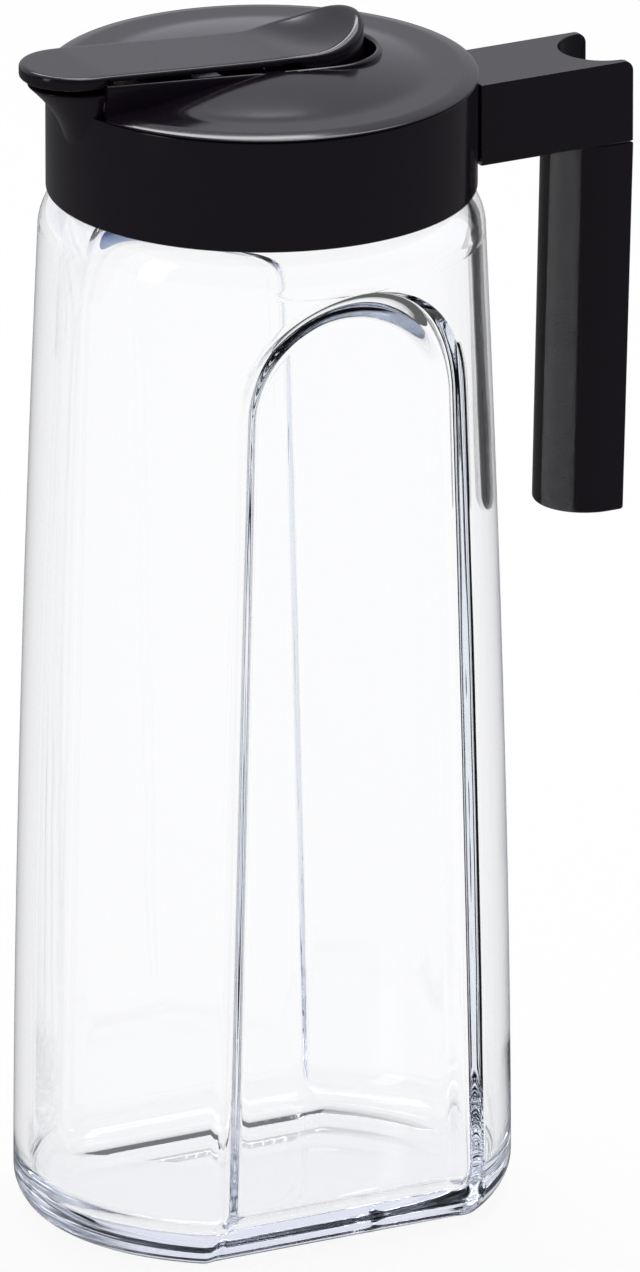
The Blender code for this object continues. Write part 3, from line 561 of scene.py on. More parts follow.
def jar_surface(sizes, outside):
    """The outer or the inner surface of the jar, up to the neck; inside, the panels' ledges are soft."""
    wall = 0.0 if outside else sizes.wall
    border = panel_edge(True, -0.3 * wall)
    usual_ledge = 4.0 * MM  # the width that panel_edge leaves between the border and the flat
    flat = panel_edge(False, usual_ledge - sizes.ledge if outside else -usual_ledge)
    heel = HEEL_ROUND if outside else 7.0 * MM
    floor = 0.0 if outside else sizes.floor
    neck = NECK_RADIUS if outside else NECK_RADIUS - 4.0 * MM
    rings = []
    for height, radius in jar_levels(floor, heel, neck, wall, ARCH_SPRING + border[2]):
        sunk = PANEL_FLAT - wall - quarter_drop(heel - (height - floor), heel)
        profile = ledge_outside if outside else eased
        rings.append(jar_ring(height, radius, sunk, border, flat, profile))
    return rings


def ledge_outside(share):
    """The ledge's section: steep at the border, then flattening out."""
    return 1 - (1 - share) ** 1.8


def neck_ring(radius, height):
    edge = panel_edge(True, 0.0)
    return jar_ring(height, radius, radius, edge, edge, eased)


def build_jar(sizes):
    """The glass jar as one closed skin: down the outside, over the rim and down the inside."""
    outer, inner = jar_surface(sizes, True), jar_surface(sizes, False)
    lip = 2.0 * MM
    neck_in = NECK_RADIUS - 2 * lip
    levels = [NECK_FOOT + 0.4 * MM, JAR_TOP - 15.3 * MM, JAR_TOP - 9.3 * MM]
    neck = [(NECK_RADIUS, z) for z in levels] + arc((NECK_RADIUS - lip, JAR_TOP - lip), lip, 0, 180, 12)
    neck += [(neck_in, z) for z in reversed(levels)]
    rim = [neck_ring(radius, z) for radius, z in neck]
    under = []
    hollow = 1.2 * MM  # height of the foot's underside at its middle, inside the ring that it stands on
    for share in (0.0, 0.25, 0.5, 0.75, 0.93):
        under.append([Vector((p.x * share, p.y * share, hollow * (1 - share**2))) for p in outer[0]])
    under.append([Vector((p.x * 0.985, p.y * 0.985, 0.0)) for p in outer[0]])
    inside = []
    for share in (0.97, 0.8, 0.6, 0.4, 0.2, 0.0):
        inside.append([Vector((p.x * share, p.y * share, sizes.floor)) for p in inner[0]])
    rings = [*under, *outer, *rim, *reversed(inner), *inside]
    return lofted("glass_jar_skin", rings, edge_angle=50, capped=False)


def thread_bead(rise, low, pitch, turns, radius):
    """A rounded bead that climbs round the neck and runs out at both ends."""
    steps = fine(260)
    rings = []
    for i in range(steps + 1):
        share = i / steps
        angle = math.tau * turns * share
        fade = eased(min(share, 1 - share) * turns * 8)
        height = low + pitch * turns * share
        across = [(-1.6, -0.5), (-1.1, 0.45), (-0.5, 0.9), (0.0, 1.0)]
        across += [(-along, out) for along, out in reversed(across[:-1])]
        ring = []
        for along, out in across:
            reach = radius + rise * out * fade - 0.3 * MM * (1 - fade)
            ring.append(Vector((reach * math.cos(angle), reach * math.sin(angle), height + along * MM)))
        rings.append(ring)
    return lofted("neck_thread", rings, edge_angle=60)


# Collar and spout


def spout_share(height):
    """0 at the spout's point, 1 at its lip."""
    low = LID_RIM - SPOUT_DROP
    return min(max((height - low) / SPOUT_HEIGHT, 0.0), 1.0)


def spout_ring(height, wall, back, steps):
    """Outline of the spout at one height, from root to root, or of its hollow when it has a wall."""
    share = spout_share(height)
    half = between(SPOUT_ROOT, SPOUT_HALF, math.sqrt(share)) - wall
    reach = SPOUT_REACH * share**1.9 - wall + 0.5 * MM
    blunt = between(1.1, 0.55, share)
    points = []
    for i in range(steps + 1):
        across = math.cos(math.pi * i / steps)
        y = half * across
        bulge = reach * max(1 - across * across, 0.0) ** blunt - SPOUT_ROOT
        points.append(Vector((-math.sqrt(COLLAR_RADIUS**2 - y * y) - bulge, y, height)))
    return points + [Vector((-back, -half, height)), Vector((-back, half, height))]


def build_spout():
    """The spout: a beak on the collar with a thin rounded lip and a trough inside."""
    back = FENCE_FRONT + 0.3 * MM
    lip = LID_RIM + SPOUT_RISE
    steps = fine(48)
    lip_round = 0.7 * MM
    heights = [between(LID_RIM - 12.45 * MM, lip - lip_round, (i / 30) ** 1.4) for i in range(31)]
    rings = [spout_ring(height, 0.0, back, steps) for height in heights]
    for angle in (20, 40, 60, 90):
        turn = math.radians(angle)
        inset = lip_round * (1 - math.cos(turn))
        height = lip - lip_round * (1 - math.sin(turn))
        outline = spout_ring(height, 0.0, back, steps)
        inner = spout_ring(height, SPOUT_WALL, back, steps)
        share = inset / SPOUT_WALL
        rings.append([p.lerp(Vector((q.x, q.y, p.z)), share) for p, q in zip(outline, inner)])
    spout = lofted("collar_spout", rings)
    floor = LID_RIM + 0.2 * MM
    hollow_heights = [between(floor, lip - 0.5 * MM, i / 12) for i in range(13)] + [lip + 3 * MM]
    walls = [SPOUT_WALL] * 12 + [1.9 * MM, 1.3 * MM]
    hollow = [spout_ring(min(z, lip), w, back - 4 * MM, steps) for z, w in zip(hollow_heights, walls)]
    for ring, z in zip(hollow, hollow_heights):
        for point in ring:
            point.z = z
    cut(spout, lofted("spout hollow", hollow))
    soften(spout, 40)
    return spout


def build_collar(sizes):
    """The collar's shell with its deck, the pad and tenon for the arm, and the spout."""
    deck_top = LID_RIM - 1.0 * MM
    deck_low, lip_low, lip_out = deck_top - 2.6 * MM, deck_top - 7.7 * MM, 40.0 * MM
    profile = [(COLLAR_RADIUS, COLLAR_LOW), (COLLAR_RADIUS, deck_top), (DECK_BORE, deck_top)]
    profile += [(DECK_BORE, lip_low), (lip_out, lip_low), (lip_out, deck_low)]
    profile += [(COLLAR_BORE, deck_low), (COLLAR_BORE, COLLAR_LOW)]
    edge = sizes.plastic_edge
    radii = [0.6 * MM, 0.25 * MM, edge, edge, edge, edge, edge, edge]
    collar = turned("collar_shell", rounded(profile, radii), steps=240)
    root = 47.5 * MM
    low, high = ARM_LOW + 1.2 * MM, ARM_HIGH - 1.2 * MM
    pad = box_plate("arm_pad", (root, 50.75 * MM), 11.3 * MM, low, high)
    low, high = ARM_LOW + 4.2 * MM, ARM_HIGH - 4.2 * MM
    tenon = box_plate("arm_tenon", (root, 66.5 * MM), TENON_HALF, low, high)
    return collar, pad, tenon, build_spout()


# Lid


def dome_rise(radius):
    """Height of the lid's top over its edge: a shallow cap that eases into the rim's flat band."""
    band, zero = 0.5 * MM, 38.5 * MM
    if radius <= DOME_CAP:
        return band + 3.9 * MM * (1 - (radius / zero) ** 2)
    share = min((radius - DOME_CAP) / (DOME_FOOT - DOME_CAP), 1.0)
    return band + (dome_rise(DOME_CAP) - band) * (1 - share) ** 2


def fence_rise(x):
    """Height of the fence's top edge over the lid's rim: it falls from the spout to the waist."""
    share = (x + FENCE_FRONT) / (FENCE_FRONT - FENCE_WAIST)
    return between(7.3 * MM, 4.0 * MM, min(share, 1.0))


def loop_outline(inset, front, steps):
    """Outline of the fence's outer face, or of one inside it: straight sides, then a round rear loop."""
    radius = WELL_RADIUS - inset
    half = FENCE_HALF - inset
    span_x = WELL_CENTRE + FENCE_WAIST
    distance = math.hypot(span_x, half)
    end = 180 - math.degrees(math.acos(radius / distance)) - math.degrees(math.atan2(half, span_x))
    straight = []
    if front > FENCE_WAIST:
        count = 12
        straight = [(between(-front, -FENCE_WAIST, i / count), -half) for i in range(count + 1)]
    other = [(x, -y) for x, y in reversed(straight)]
    return straight + arc((WELL_CENTRE, 0), radius, -end, end, steps) + other


def lid_profile():
    """Half section of the lid: dome, flat band, crowned rim, thin edge, plug and hollow underside."""
    top = [(DOME_FOOT * i / 32, LID_RIM + dome_rise(DOME_FOOT * i / 32)) for i in range(33)]
    band, rim = 46.0 * MM, LID_RADIUS
    shares = [(0.0, 1.0), (0.12, 0.985), (0.25, 0.91), (0.35, 0.83), (0.5, 0.68)]
    shares += [(0.65, 0.53), (0.8, 0.34), (0.9, 0.17), (0.97, 0.05), (1.0, -0.12)]
    for out, up in shares:
        top.append((between(band, rim, out), LID_RIM - 0.3 * MM + 0.8 * MM * up))
    low = LID_RIM - 0.7 * MM
    below = [(rim, low + 0.1 * MM), (rim - 0.1 * MM, low), (PLUG_RADIUS, low)]
    groove, groove_half, groove_in = LID_RIM - 6.5 * MM, 1.1 * MM, 35.8 * MM
    below += [(PLUG_RADIUS, groove + groove_half), (groove_in, groove + groove_half)]
    below += [(groove_in, groove - groove_half), (PLUG_RADIUS, groove - groove_half)]
    bottom = LID_RIM - 10.5 * MM
    below += [(PLUG_RADIUS, bottom + 0.5 * MM), (37.1 * MM, bottom)]
    below += [(34.2 * MM, bottom), (PLUG_BORE, bottom + 0.4 * MM)]
    for i in range(12, -1, -1):
        radius = PLUG_BORE * i / 12
        below.append((radius, LID_RIM + dome_rise(radius) - 2.2 * MM))
    return top + below


def build_lid(sizes):
    """The lid with its fence, well, trough and strainer."""
    lid = turned("lid_shell", lid_profile(), steps=240, closed=False)
    well_low = LID_RIM - WELL_DROP - 2.0 * MM
    soft = sizes.fence_round
    steps = fine(72)

    def fence_rings(start, bend, front, low, angles):
        """Rings up a face of the fence and over its rounded top; bend is negative for the inner face."""
        rings = [[Vector((x, y, low)) for x, y in loop_outline(start, front, steps)]]
        for angle in angles:
            turn = math.radians(angle)
            outline = loop_outline(start + bend * (1 - math.cos(turn)), front, steps)
            drop = soft * (1 - math.sin(turn))
            rings.append([Vector((x, y, LID_RIM + fence_rise(x) - drop)) for x, y in outline])
        return rings

    fence = fence_rings(0.0, soft, FENCE_FRONT, LID_RIM - 0.5 * MM, (0, 22, 45, 67, 90))
    cut(lid, lofted("fence", fence), "UNION")
    well = plate("well", loop_outline(0.0, WELL_FRONT, steps), well_low, LID_RIM + 1.0 * MM)
    cut(lid, well, "UNION")

    high = LID_RIM + 12 * MM
    half = FENCE_HALF + 0.3 * MM
    far = 54.0 * MM
    wide = half + far - FENCE_FRONT
    notch = [(-far, -wide), (-FENCE_FRONT, -half), (-FENCE_FRONT, half), (-far, wide)]
    cut(lid, plate("spout notch", notch, LID_RIM - 5.0 * MM, high))

    trough = fence_rings(FENCE_WALL, -soft, FENCE_FRONT + 4 * MM, LID_RIM + 0.5 * MM, (0, 30, 60, 90))
    trough.append([Vector((p.x, p.y, high)) for p in trough[-1]])
    cut(lid, lofted("trough hollow", trough))
    outline = loop_outline(FENCE_WALL, WELL_FRONT - FENCE_WALL, steps)
    cut(lid, plate("well hollow", outline, LID_RIM - WELL_DROP, high))
    slot_pitch, slot_half = 5.2 * MM, 1.75 * MM
    for i in (-1, 0, 1):
        outline = arc((-21.75 * MM, slot_pitch * i), slot_half, -90, 90, 8)
        outline += arc((-32.25 * MM, slot_pitch * i), slot_half, 90, 270, 8)
        cut(lid, plate("strainer slot", outline, LID_RIM - 7 * MM, LID_RIM + 3 * MM))
    soften(lid, 38)
    return lid


# Flap


def flap_outline(inset, steps_nose, steps_side, steps_tab):
    """Plan of the flap, or of one inside it: a round nose, straight sides, a waist and a round tab."""
    nose, tab, waist = NOSE_RADIUS - inset, TAB_RADIUS - inset, WAIST_HALF - inset
    points = arc((-NOSE_CENTRE, 0), nose, 180, 270, steps_nose)
    for i in range(1, steps_side):
        x = between(-NOSE_CENTRE, 0, i / steps_side)
        points.append((x, -between(nose, waist, i / steps_side)))
    for i in range(steps_side):
        x = TAB_CENTRE * i / steps_side
        points.append((x, -between(waist, tab, eased(i / steps_side))))
    points += arc((TAB_CENTRE, 0), tab, -90, 0, steps_tab)
    other = [(x, -y) for x, y in reversed(points[1:-1])]
    return points + other


def flap_top(x):
    """Height of the flap's top over the lid's rim: down from nose to waist, then up to the tab."""
    if x < -FENCE_FRONT:
        share = (-x - FENCE_FRONT) / (NOSE_CENTRE + NOSE_RADIUS - FENCE_FRONT)
        return between(9.5 * MM, 10.0 * MM, share)
    front = 0.5 * (math.hypot(x, 6 * MM) - x) / FENCE_FRONT
    share = min(max(x, 0.0) / TAB_END, 1.0)
    return 6.3 * MM + 3.2 * MM * front + 6.5 * MM * share**2.2


def flap_bottom(x):
    """Height of the flap's underside over the lid's rim: above spout and fence, then in the well."""
    if x < -FENCE_FRONT:
        return 6.6 * MM
    over_fence = fence_rise(min(x, -FENCE_WAIST)) + 0.8 * MM
    return between(over_fence, 2.2 * MM, eased((x - 3.5 * MM) / (3.0 * MM)))


def flap_half(x):
    """Half width of the flap's plan at x."""
    if x <= -NOSE_CENTRE:
        return math.sqrt(max(NOSE_RADIUS**2 - (x + NOSE_CENTRE) ** 2, 0.0))
    if x >= TAB_CENTRE:
        return math.sqrt(max(TAB_RADIUS**2 - (x - TAB_CENTRE) ** 2, 0.0))
    if x < 0:
        return between(WAIST_HALF, NOSE_RADIUS, -x / NOSE_CENTRE)
    return between(WAIST_HALF, TAB_RADIUS, eased(x / TAB_CENTRE))


def build_flap(sizes):
    """The rocking flap: a dished top with a rounded rim, thin over the spout and deep at the tab."""
    nose_steps, side_steps, tab_steps = fine(24), fine(36), fine(36)
    tab_round = sizes.tab_round

    def rounding(x):
        """Radius of the top's edge: crisp along the sides and nose, wide round the tab."""
        return between(1.1 * MM, tab_round, eased((x - 4 * MM) / (12 * MM)))

    def top_height(x, y, fall):
        half = max(flap_half(x), 1 * MM)
        dish = sizes.dish * math.sin(math.pi * min(max(x / TAB_END, 0.0), 1.0)) ** 2
        across = min(abs(y) / half, 1.0)
        along = eased((TAB_END - x) / (6 * MM))
        return LID_RIM + flap_top(x) - dish * (1 - across**2) * along - fall

    base = flap_outline(0.0, nose_steps, side_steps, tab_steps)
    rings = []
    under = 0.7 * MM
    for k in range(5):
        turn = math.radians(22.5 * k)
        outline = flap_outline(under * (1 - math.sin(turn)), nose_steps, side_steps, tab_steps)
        rise = under * (1 - math.cos(turn))
        rings.append([Vector((x, y, LID_RIM + flap_bottom(x) + rise)) for x, y in outline])
    for k in range(8):
        turn = math.radians(90 * k / 7)
        ring = []
        for x0, y0 in base:
            radius = rounding(x0)
            x, y = flap_point(x0, y0, radius * (1 - math.cos(turn)))
            ring.append(Vector((x, y, top_height(x, y, radius * (1 - math.sin(turn))))))
        rings.append(ring)
    for k in range(1, 13):
        ring = []
        for x0, y0 in base:
            x, y = flap_point(x0, y0, between(rounding(x0), 11.4 * MM, k / 12))
            ring.append(Vector((x, y, top_height(x, y, 0.0))))
        rings.append(ring)
    work, levels = skinned(rings)
    # The two ends are closed by strips from side to side, which follow the curve along the flap
    for level in (levels[0], levels[-1]):
        count = len(level)
        for i in range(1, count // 2):
            a, b = level[i], level[i + 1]
            c, d = level[(count - i - 1) % count], level[(count - i) % count]
            if i + 1 == count // 2:
                if len({a, b, d}) == 3:
                    work.faces.new((a, b, d))
            else:
                work.faces.new((a, b, c, d))
        work.faces.new((level[0], level[1], level[-1]))
    return mesh_object("flap_body", work, 40)


def flap_point(x, y, inset):
    """Where one point of the flap's plan moves to when the plan shrinks by an inset."""
    if x <= -NOSE_CENTRE:
        share = (NOSE_RADIUS - inset) / NOSE_RADIUS
        return (-NOSE_CENTRE + (x + NOSE_CENTRE) * share, y * share)
    if x >= TAB_CENTRE:
        share = (TAB_RADIUS - inset) / TAB_RADIUS
        return (TAB_CENTRE + (x - TAB_CENTRE) * share, y * share)
    return (x, (1 if y > 0 else -1) * (abs(y) - inset))


def build_flap_underside():
    """The two lugs under the flap that turn on the pin, and the boss that holds the seal."""
    corners = [(-32.5 * MM, -6 * MM), (-21.5 * MM, -6 * MM), (-21.5 * MM, 6 * MM), (-32.5 * MM, 6 * MM)]
    boss = plate("seal_boss", corners, LID_RIM + 2.8 * MM, lambda x: LID_RIM + flap_bottom(x) + 0.5 * MM)
    made = [boss]
    radius, top = 2.6 * MM, LID_RIM + 5.6 * MM
    for middle in (7.75 * MM, -7.75 * MM):
        outline = arc((0, PIN_HEIGHT), radius, 180, 360, 16) + [(radius, top), (-radius, top)]
        lug = bar_along_y("flap_lug", outline, 1.25 * MM, middle)
        cut(lug, bar_along_y("bore", arc((0, PIN_HEIGHT), 1.3 * MM, 0, 345, 23), 4 * MM, middle))
        soften(lug)
        made.append(lug)
    return made


# Handle


def build_arm(sizes):
    """The arm: a square bar with a softened outer top corner and a round groove down its outer end."""
    outline = [(ARM_IN, ARM_LOW), (ARM_OUT, ARM_LOW)]
    corner = (ARM_OUT - 2.5 * MM, ARM_HIGH - 2.5 * MM)
    outline += arc(corner, 2.5 * MM, 0, 90, 14) + [(ARM_IN, ARM_HIGH)]
    arm = bar_along_y("arm_body", outline, BAR_HALF)
    groove = arc((GROOVE_CENTRE, 0), GROOVE_RADIUS, 90, 270, fine(60))
    groove = [(95 * MM, GROOVE_RADIUS), *groove, (95 * MM, -GROOVE_RADIUS)]
    cut(arm, plate("arm groove", groove, ARM_LOW - 4 * MM, ARM_HIGH + 4 * MM))
    edged(arm, sizes.plastic_edge * 1.2)
    span = (ARM_IN - 4 * MM, 66.8 * MM)
    cut(arm, box_plate("tenon socket", span, 8.8 * MM, ARM_LOW + 3.9 * MM, ARM_HIGH - 3.9 * MM))
    for offset in SCREW_OFFSETS.values():
        for radius, depth in ((1.7 * MM, 5 * MM), (3.1 * MM, 2.3 * MM)):
            hole = arc((ARM_IN + offset, 0), radius, 0, 352.5, 47)
            cut(arm, plate("screw hole", hole, ARM_LOW - MM, ARM_LOW + depth))
    return arm


def grip_outline(shift, scale, inset):
    """Plan of the grip: round towards the jar, with a round groove open at the outer side."""
    half = BAR_HALF * scale - inset
    end = GRIP_OUT - shift - inset
    centre = 87.5 * MM - shift
    groove = GROOVE_RADIUS * scale + inset
    groove_centre = GROOVE_CENTRE - shift
    turn = math.degrees(math.acos(min((end - groove_centre) / groove, 1.0)))
    outer = arc((centre, 0), half, 90, 270, 48)
    inner = arc((groove_centre, 0), groove, -turn, -(360 - turn), 48)
    return [(end, half), *outer, (end, -half), *inner]


def build_grip(sizes):
    """The grip: a hollow-backed bar that leans a little towards the jar."""
    top = ARM_LOW - 0.3 * MM
    length = 90.2 * MM
    edge = 0.9 * MM
    rings = []
    for angle in (90, 67, 45, 22):
        turn = math.radians(angle)
        height = top - length + edge * (1 - math.sin(turn))
        rings.append((height, edge * (1 - math.cos(turn))))
    rings += [(between(top - length + edge, top - 0.3 * MM, i / 20), 0.0) for i in range(21)]
    rings += [(top - 0.1 * MM, 0.08 * MM), (top, 0.3 * MM)]
    points = []
    for height, inset in rings:
        share = (top - height) / length
        outline = grip_outline(2.3 * MM * share, between(1.0, 0.98, share), inset)
        points.append([Vector((x, y, height)) for x, y in outline])
    grip = lofted("grip_body", points, 40)
    span = (76.1 * MM, 78.1 * MM)
    cut(grip, box_plate("grip tongue", span, 4.8 * MM, top - 4 * MM, ARM_LOW + 7.7 * MM), "UNION")
    edged(grip, sizes.plastic_edge, 50)
    return grip


def build_screw(name, x):
    """A small pan-head screw with a cross recess, driven up into the arm."""
    low = ARM_LOW + 0.3 * MM
    head, shank = 2.8 * MM, 1.4 * MM
    profile = [(0, low + 9.5 * MM), (0.4 * MM, low + 9.5 * MM), (shank, low + 8.2 * MM)]
    for i in range(14):
        height = low + 8.0 * MM - 0.4 * MM * i
        profile += [(shank, height), (shank - 0.25 * MM, height - 0.2 * MM)]
    profile += [(shank, low + 2.0 * MM), (head - 0.2 * MM, low + 2.0 * MM), (head, low + 1.8 * MM)]
    profile += [(head, low + 0.7 * MM), (head - 0.2 * MM, low + 0.3 * MM)]
    profile += [(head - 0.7 * MM, low), (0, low)]
    screw = turned(name, profile, steps=48, closed=False)
    wide, thin = 1.6 * MM, 0.35 * MM
    for along, across in ((thin, wide), (wide, thin)):
        cut(screw, box_plate("cross recess", (-along, along), across, low - MM, low + 1.1 * MM))
    soften(screw)
    screw.location.x = x
    return screw


# Operators


class BuildJar(bpy.types.Operator):
    """Builds the pressed glass jar with its arched side panels and its neck thread"""

    bl_idname = "pitcher.jar"
    bl_label = "Glass Jar"

    def execute(self, context):
        sizes = context.scene.pitcher_sizes
        jar = build_jar(sizes)
        thread = thread_bead(sizes.thread_rise, NECK_FOOT + 5.5 * MM, 5.5 * MM, 1.6, NECK_RADIUS)
        for piece in (jar, thread):
            dressed(piece, "glass", "jar")
            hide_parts("glass_jar")
        return {"FINISHED"}


class BuildCollar(bpy.types.Operator):
    """Builds the pour collar with its deck, spout and the mount for the handle"""

    bl_idname = "pitcher.collar"
    bl_label = "Pour Collar"

    def execute(self, context):
        for piece in build_collar(context.scene.pitcher_sizes):
            dressed(piece, "black_plastic", "collar")
            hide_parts("pour_collar")
        return {"FINISHED"}


class BuildLid(bpy.types.Operator):
    """Builds the lid with its fence, well and strainer"""

    bl_idname = "pitcher.lid"
    bl_label = "Lid"

    def execute(self, context):
        lid = build_lid(context.scene.pitcher_sizes)
        dressed(lid, "black_plastic", "lid")
        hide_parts("lid_disc")
        return {"FINISHED"}


class BuildFlap(bpy.types.Operator):
    """Builds the rocking flap with its dished tab and its lugs"""

    bl_idname = "pitcher.flap"
    bl_label = "Spout Flap"

    def execute(self, context):
        for piece in (build_flap(context.scene.pitcher_sizes), *build_flap_underside()):
            dressed(piece, "black_plastic", "flap")
            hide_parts("spout_flap")
        return {"FINISHED"}


class BuildHandle(bpy.types.Operator):
    """Builds the handle's arm and grip"""

    bl_idname = "pitcher.handle"
    bl_label = "Handle"

    def execute(self, context):
        sizes = context.scene.pitcher_sizes
        for made, solid in ((build_arm(sizes), "handle_arm"), (build_grip(sizes), "handle_grip")):
            dressed(made, "black_plastic", "collar")
            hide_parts(solid)
        return {"FINISHED"}


class BuildScrews(bpy.types.Operator):
    """Builds the two screws under the arm"""

    bl_idname = "pitcher.screws"
    bl_label = "Arm Screws"

    def execute(self, context):
        for solid, offset in SCREW_OFFSETS.items():
            screw = build_screw(f"{solid}_turned", ARM_IN + offset)
            dressed(screw, "steel", "collar")
            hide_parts(solid)
        return {"FINISHED"}


class FinishSeals(bpy.types.Operator):
    """Gives the gaskets, the flap's seal and the hinge pin their finishes"""

    bl_idname = "pitcher.seals"
    bl_label = "Seals and Pin"

    def execute(self, context):
        for solid in ("neck_gasket", "lid_gasket", "flap_seal"):
            refinished(solid, "silicone")
        refinished("flap_hinge_pin", "steel")
        return {"FINISHED"}


def lamp(name, place, aim, size, power):
    """A soft rectangular lamp that faces a point."""
    data = bpy.data.lights.new(name, "AREA")
    data.shape = "RECTANGLE"
    data.size, data.size_y = size
    data.energy = power
    made = bpy.data.objects.new(name, data)
    bpy.context.scene.collection.objects.link(made)
    made.location = place
    made.rotation_euler = (Vector(aim) - Vector(place)).to_track_quat("-Z", "Y").to_euler()
    return made


class BuildStage(bpy.types.Operator):
    """Sets the floor, the soft lamps, the pale surroundings and the camera"""

    bl_idname = "pitcher.stage"
    bl_label = "Stage and Camera"

    def execute(self, context):
        self.floor(context.scene.pitcher_colours.floor)
        self.surroundings(context.scene)
        lamp("high soft lamp", (0.36, 0.2, 1.5), (0, 0, 0.25), (0.7, 0.9), 7.0)
        lamp("rear soft lamp", (0.16, 0.95, 1.42), (0, 0, 0.25), (0.9, 0.32), 6.0)
        lamp("left strip lamp", (-1.3, -0.1, 0.6), (0, 0, 0.2), (0.3, 1.1), 1.6)
        self.camera(context.scene)
        # Light goes to and fro many times in a glass wall before it leaves
        paths = context.scene.cycles
        paths.max_bounces, paths.glossy_bounces, paths.transmission_bounces = 32, 24, 28
        return {"FINISHED"}

    def floor(self, colour):
        work = bmesh.new()
        corners = [work.verts.new(p) for p in ((-4, -4, 0), (4, -4, 0), (4, 4, 0), (-4, 4, 0))]
        work.faces.new(corners)
        slab = mesh_object("floor", work)
        # Matt white card: a plain pale floor that keeps the pitcher's soft shadow
        made, tree, shader, output = finish("matt white card")
        dial(shader, Base_Color=(*colour, 1.0), Roughness=0.9, Specular_IOR_Level=0.0)
        path = node(tree, "ShaderNodeLightPath")
        white = node(tree, "ShaderNodeEmission", Strength=1.0)
        dim = node(tree, "ShaderNodeEmission", Strength=0.12)
        both = [(path.outputs["Is Camera Ray"], 0), (self.through(tree, path), 1)]
        seen = node(tree, "ShaderNodeMath", both, operation="MAXIMUM")
        share = node(tree, "ShaderNodeMath", [(seen.outputs["Value"], 0)], operation="MULTIPLY")
        share.inputs[1].default_value = 0.9
        shown = node(tree, "ShaderNodeMixShader", [(share.outputs["Value"], "Fac")])
        tree.links.new(shader.outputs["BSDF"], shown.inputs[1])
        tree.links.new(white.outputs["Emission"], shown.inputs[2])
        both = [(path.outputs["Is Glossy Ray"], 0), (self.through(tree, path), 1)]
        mirrored = node(tree, "ShaderNodeMath", both, operation="SUBTRACT", use_clamp=True)
        mixed = node(tree, "ShaderNodeMixShader", [(mirrored.outputs["Value"], "Fac")])
        tree.links.new(shown.outputs["Shader"], mixed.inputs[1])
        tree.links.new(dim.outputs["Emission"], mixed.inputs[2])
        tree.links.new(mixed.outputs["Shader"], output.inputs["Surface"])
        slab.data.materials.append(made)

    def surroundings(self, scene):
        world = bpy.data.worlds.new("pale studio")
        scene.world = world
        world.use_nodes = True
        tree = world.node_tree
        back = tree.nodes["Background"]
        path = node(tree, "ShaderNodeLightPath")
        place = node(tree, "ShaderNodeTexCoord")
        spot = [(place.outputs["Generated"], 0)]
        aside = node(tree, "ShaderNodeVectorMath", spot, operation="DOT_PRODUCT")
        aside.inputs[1].default_value = (0.398, 0.749, 0.53)
        bright = [(aside.outputs["Value"], "Value")]
        ramp = node(tree, "ShaderNodeMapRange", bright, interpolation_type="SMOOTHSTEP")
        dial(ramp, From_Min=-0.1, From_Max=0.6, To_Min=0.05, To_Max=0.62)
        glass = node(tree, "ShaderNodeMapRange", bright)
        dial(glass, From_Min=-1.0, From_Max=0.4, To_Min=0.4, To_Max=1.0)
        glossy = [(path.outputs["Is Glossy Ray"], "Value")]
        mirrored = node(tree, "ShaderNodeMapRange", glossy, To_Min=0.6)
        tree.links.new(ramp.outputs["Result"], mirrored.inputs["To Max"])
        through = node(tree, "ShaderNodeMapRange", [(self.through(tree, path), "Value")])
        tree.links.new(mirrored.outputs["Result"], through.inputs["To Min"])
        tree.links.new(glass.outputs["Result"], through.inputs["To Max"])
        level = node(tree, "ShaderNodeMapRange", [(path.outputs["Is Camera Ray"], "Value")])
        tree.links.new(through.outputs["Result"], level.inputs["To Min"])
        tree.links.new(level.outputs["Result"], back.inputs["Strength"])
        tone = node(tree, "ShaderNodeMix", [(path.outputs["Is Camera Ray"], "Factor")], data_type="RGBA")
        tone.inputs[6].default_value = (0.91, 0.92, 1.0, 1.0)
        tone.inputs[7].default_value = (1.0, 1.0, 1.0, 1.0)
        tree.links.new(tone.outputs[2], back.inputs["Color"])

    def through(self, tree, path):
        """1 for light seen through glass, else 0."""
        depth = [(path.outputs["Transmission Depth"], 0)]
        passed = node(tree, "ShaderNodeMath", depth, operation="GREATER_THAN")
        passed.inputs[1].default_value = 0.5
        return passed.outputs["Value"]

    def camera(self, scene):
        data = bpy.data.cameras.new("camera")
        data.lens = 791.0
        data.sensor_width = 36.0
        made = bpy.data.objects.new("camera", data)
        scene.collection.objects.link(made)
        side, tilt = math.radians(-28), math.radians(19.5)
        level = math.cos(tilt)
        back = Vector((math.sin(side) * level, -math.cos(side) * level, math.sin(tilt)))
        right = Vector((math.cos(side), math.sin(side), 0.0))
        up = back.cross(right)
        aim = Vector((0, 0, LID_RIM - 0.137)) + right * 0.0135 - up * 0.0013
        made.location = aim + back * 6.5
        made.rotation_euler = (-back).to_track_quat("-Z", "Y").to_euler()
        data.clip_start, data.clip_end = 0.1, 60.0
        scene.camera = made
        scene.view_settings.view_transform = "Standard"


class PitcherPanel(bpy.types.Panel):
    """Lists the pitcher's sizes, colours and building steps"""

    bl_idname = "VIEW3D_PT_pitcher"
    bl_label = "Water Pitcher"
    bl_space_type = "VIEW_3D"
    bl_region_type = "UI"
    bl_category = "Pitcher"

    def draw(self, context):
        column = self.layout.column(align=True)
        for group in (context.scene.pitcher_sizes, context.scene.pitcher_colours):
            for key in group.__annotations__:
                column.prop(group, key)
        for step in STEPS:
            column.operator(step.bl_idname)


STEPS = (BuildJar, BuildCollar, BuildLid, BuildFlap, BuildHandle, BuildScrews, FinishSeals, BuildStage)
CLASSES = (PitcherSizes, PitcherColours, *STEPS, PitcherPanel)


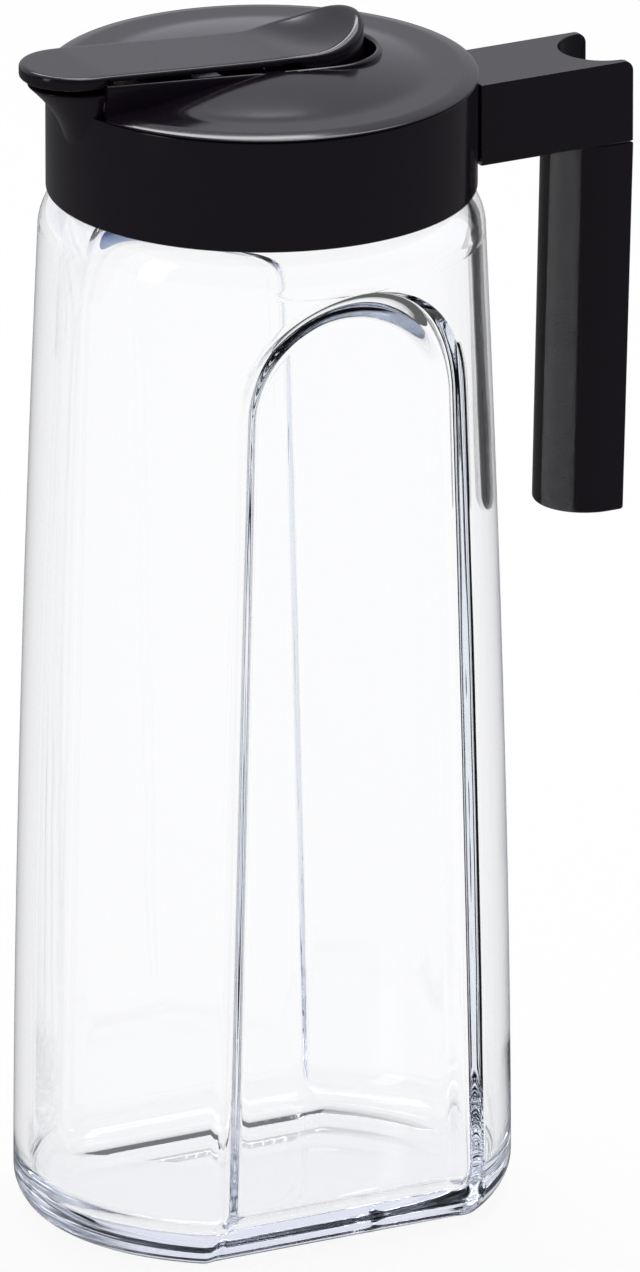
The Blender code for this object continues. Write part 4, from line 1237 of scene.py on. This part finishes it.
def register():
    for part in CLASSES:
        bpy.utils.register_class(part)
    bpy.types.Scene.pitcher_sizes = bpy.props.PointerProperty(type=PitcherSizes)
    bpy.types.Scene.pitcher_colours = bpy.props.PointerProperty(type=PitcherColours)


def unregister():
    del bpy.types.Scene.pitcher_sizes
    del bpy.types.Scene.pitcher_colours
    for part in reversed(CLASSES):
        bpy.utils.unregister_class(part)


def main():
    register()
    for step in STEPS:
        group, name = step.bl_idname.split(".")
        getattr(getattr(bpy.ops, group), name)()


if __name__ == "__main__":
    main()
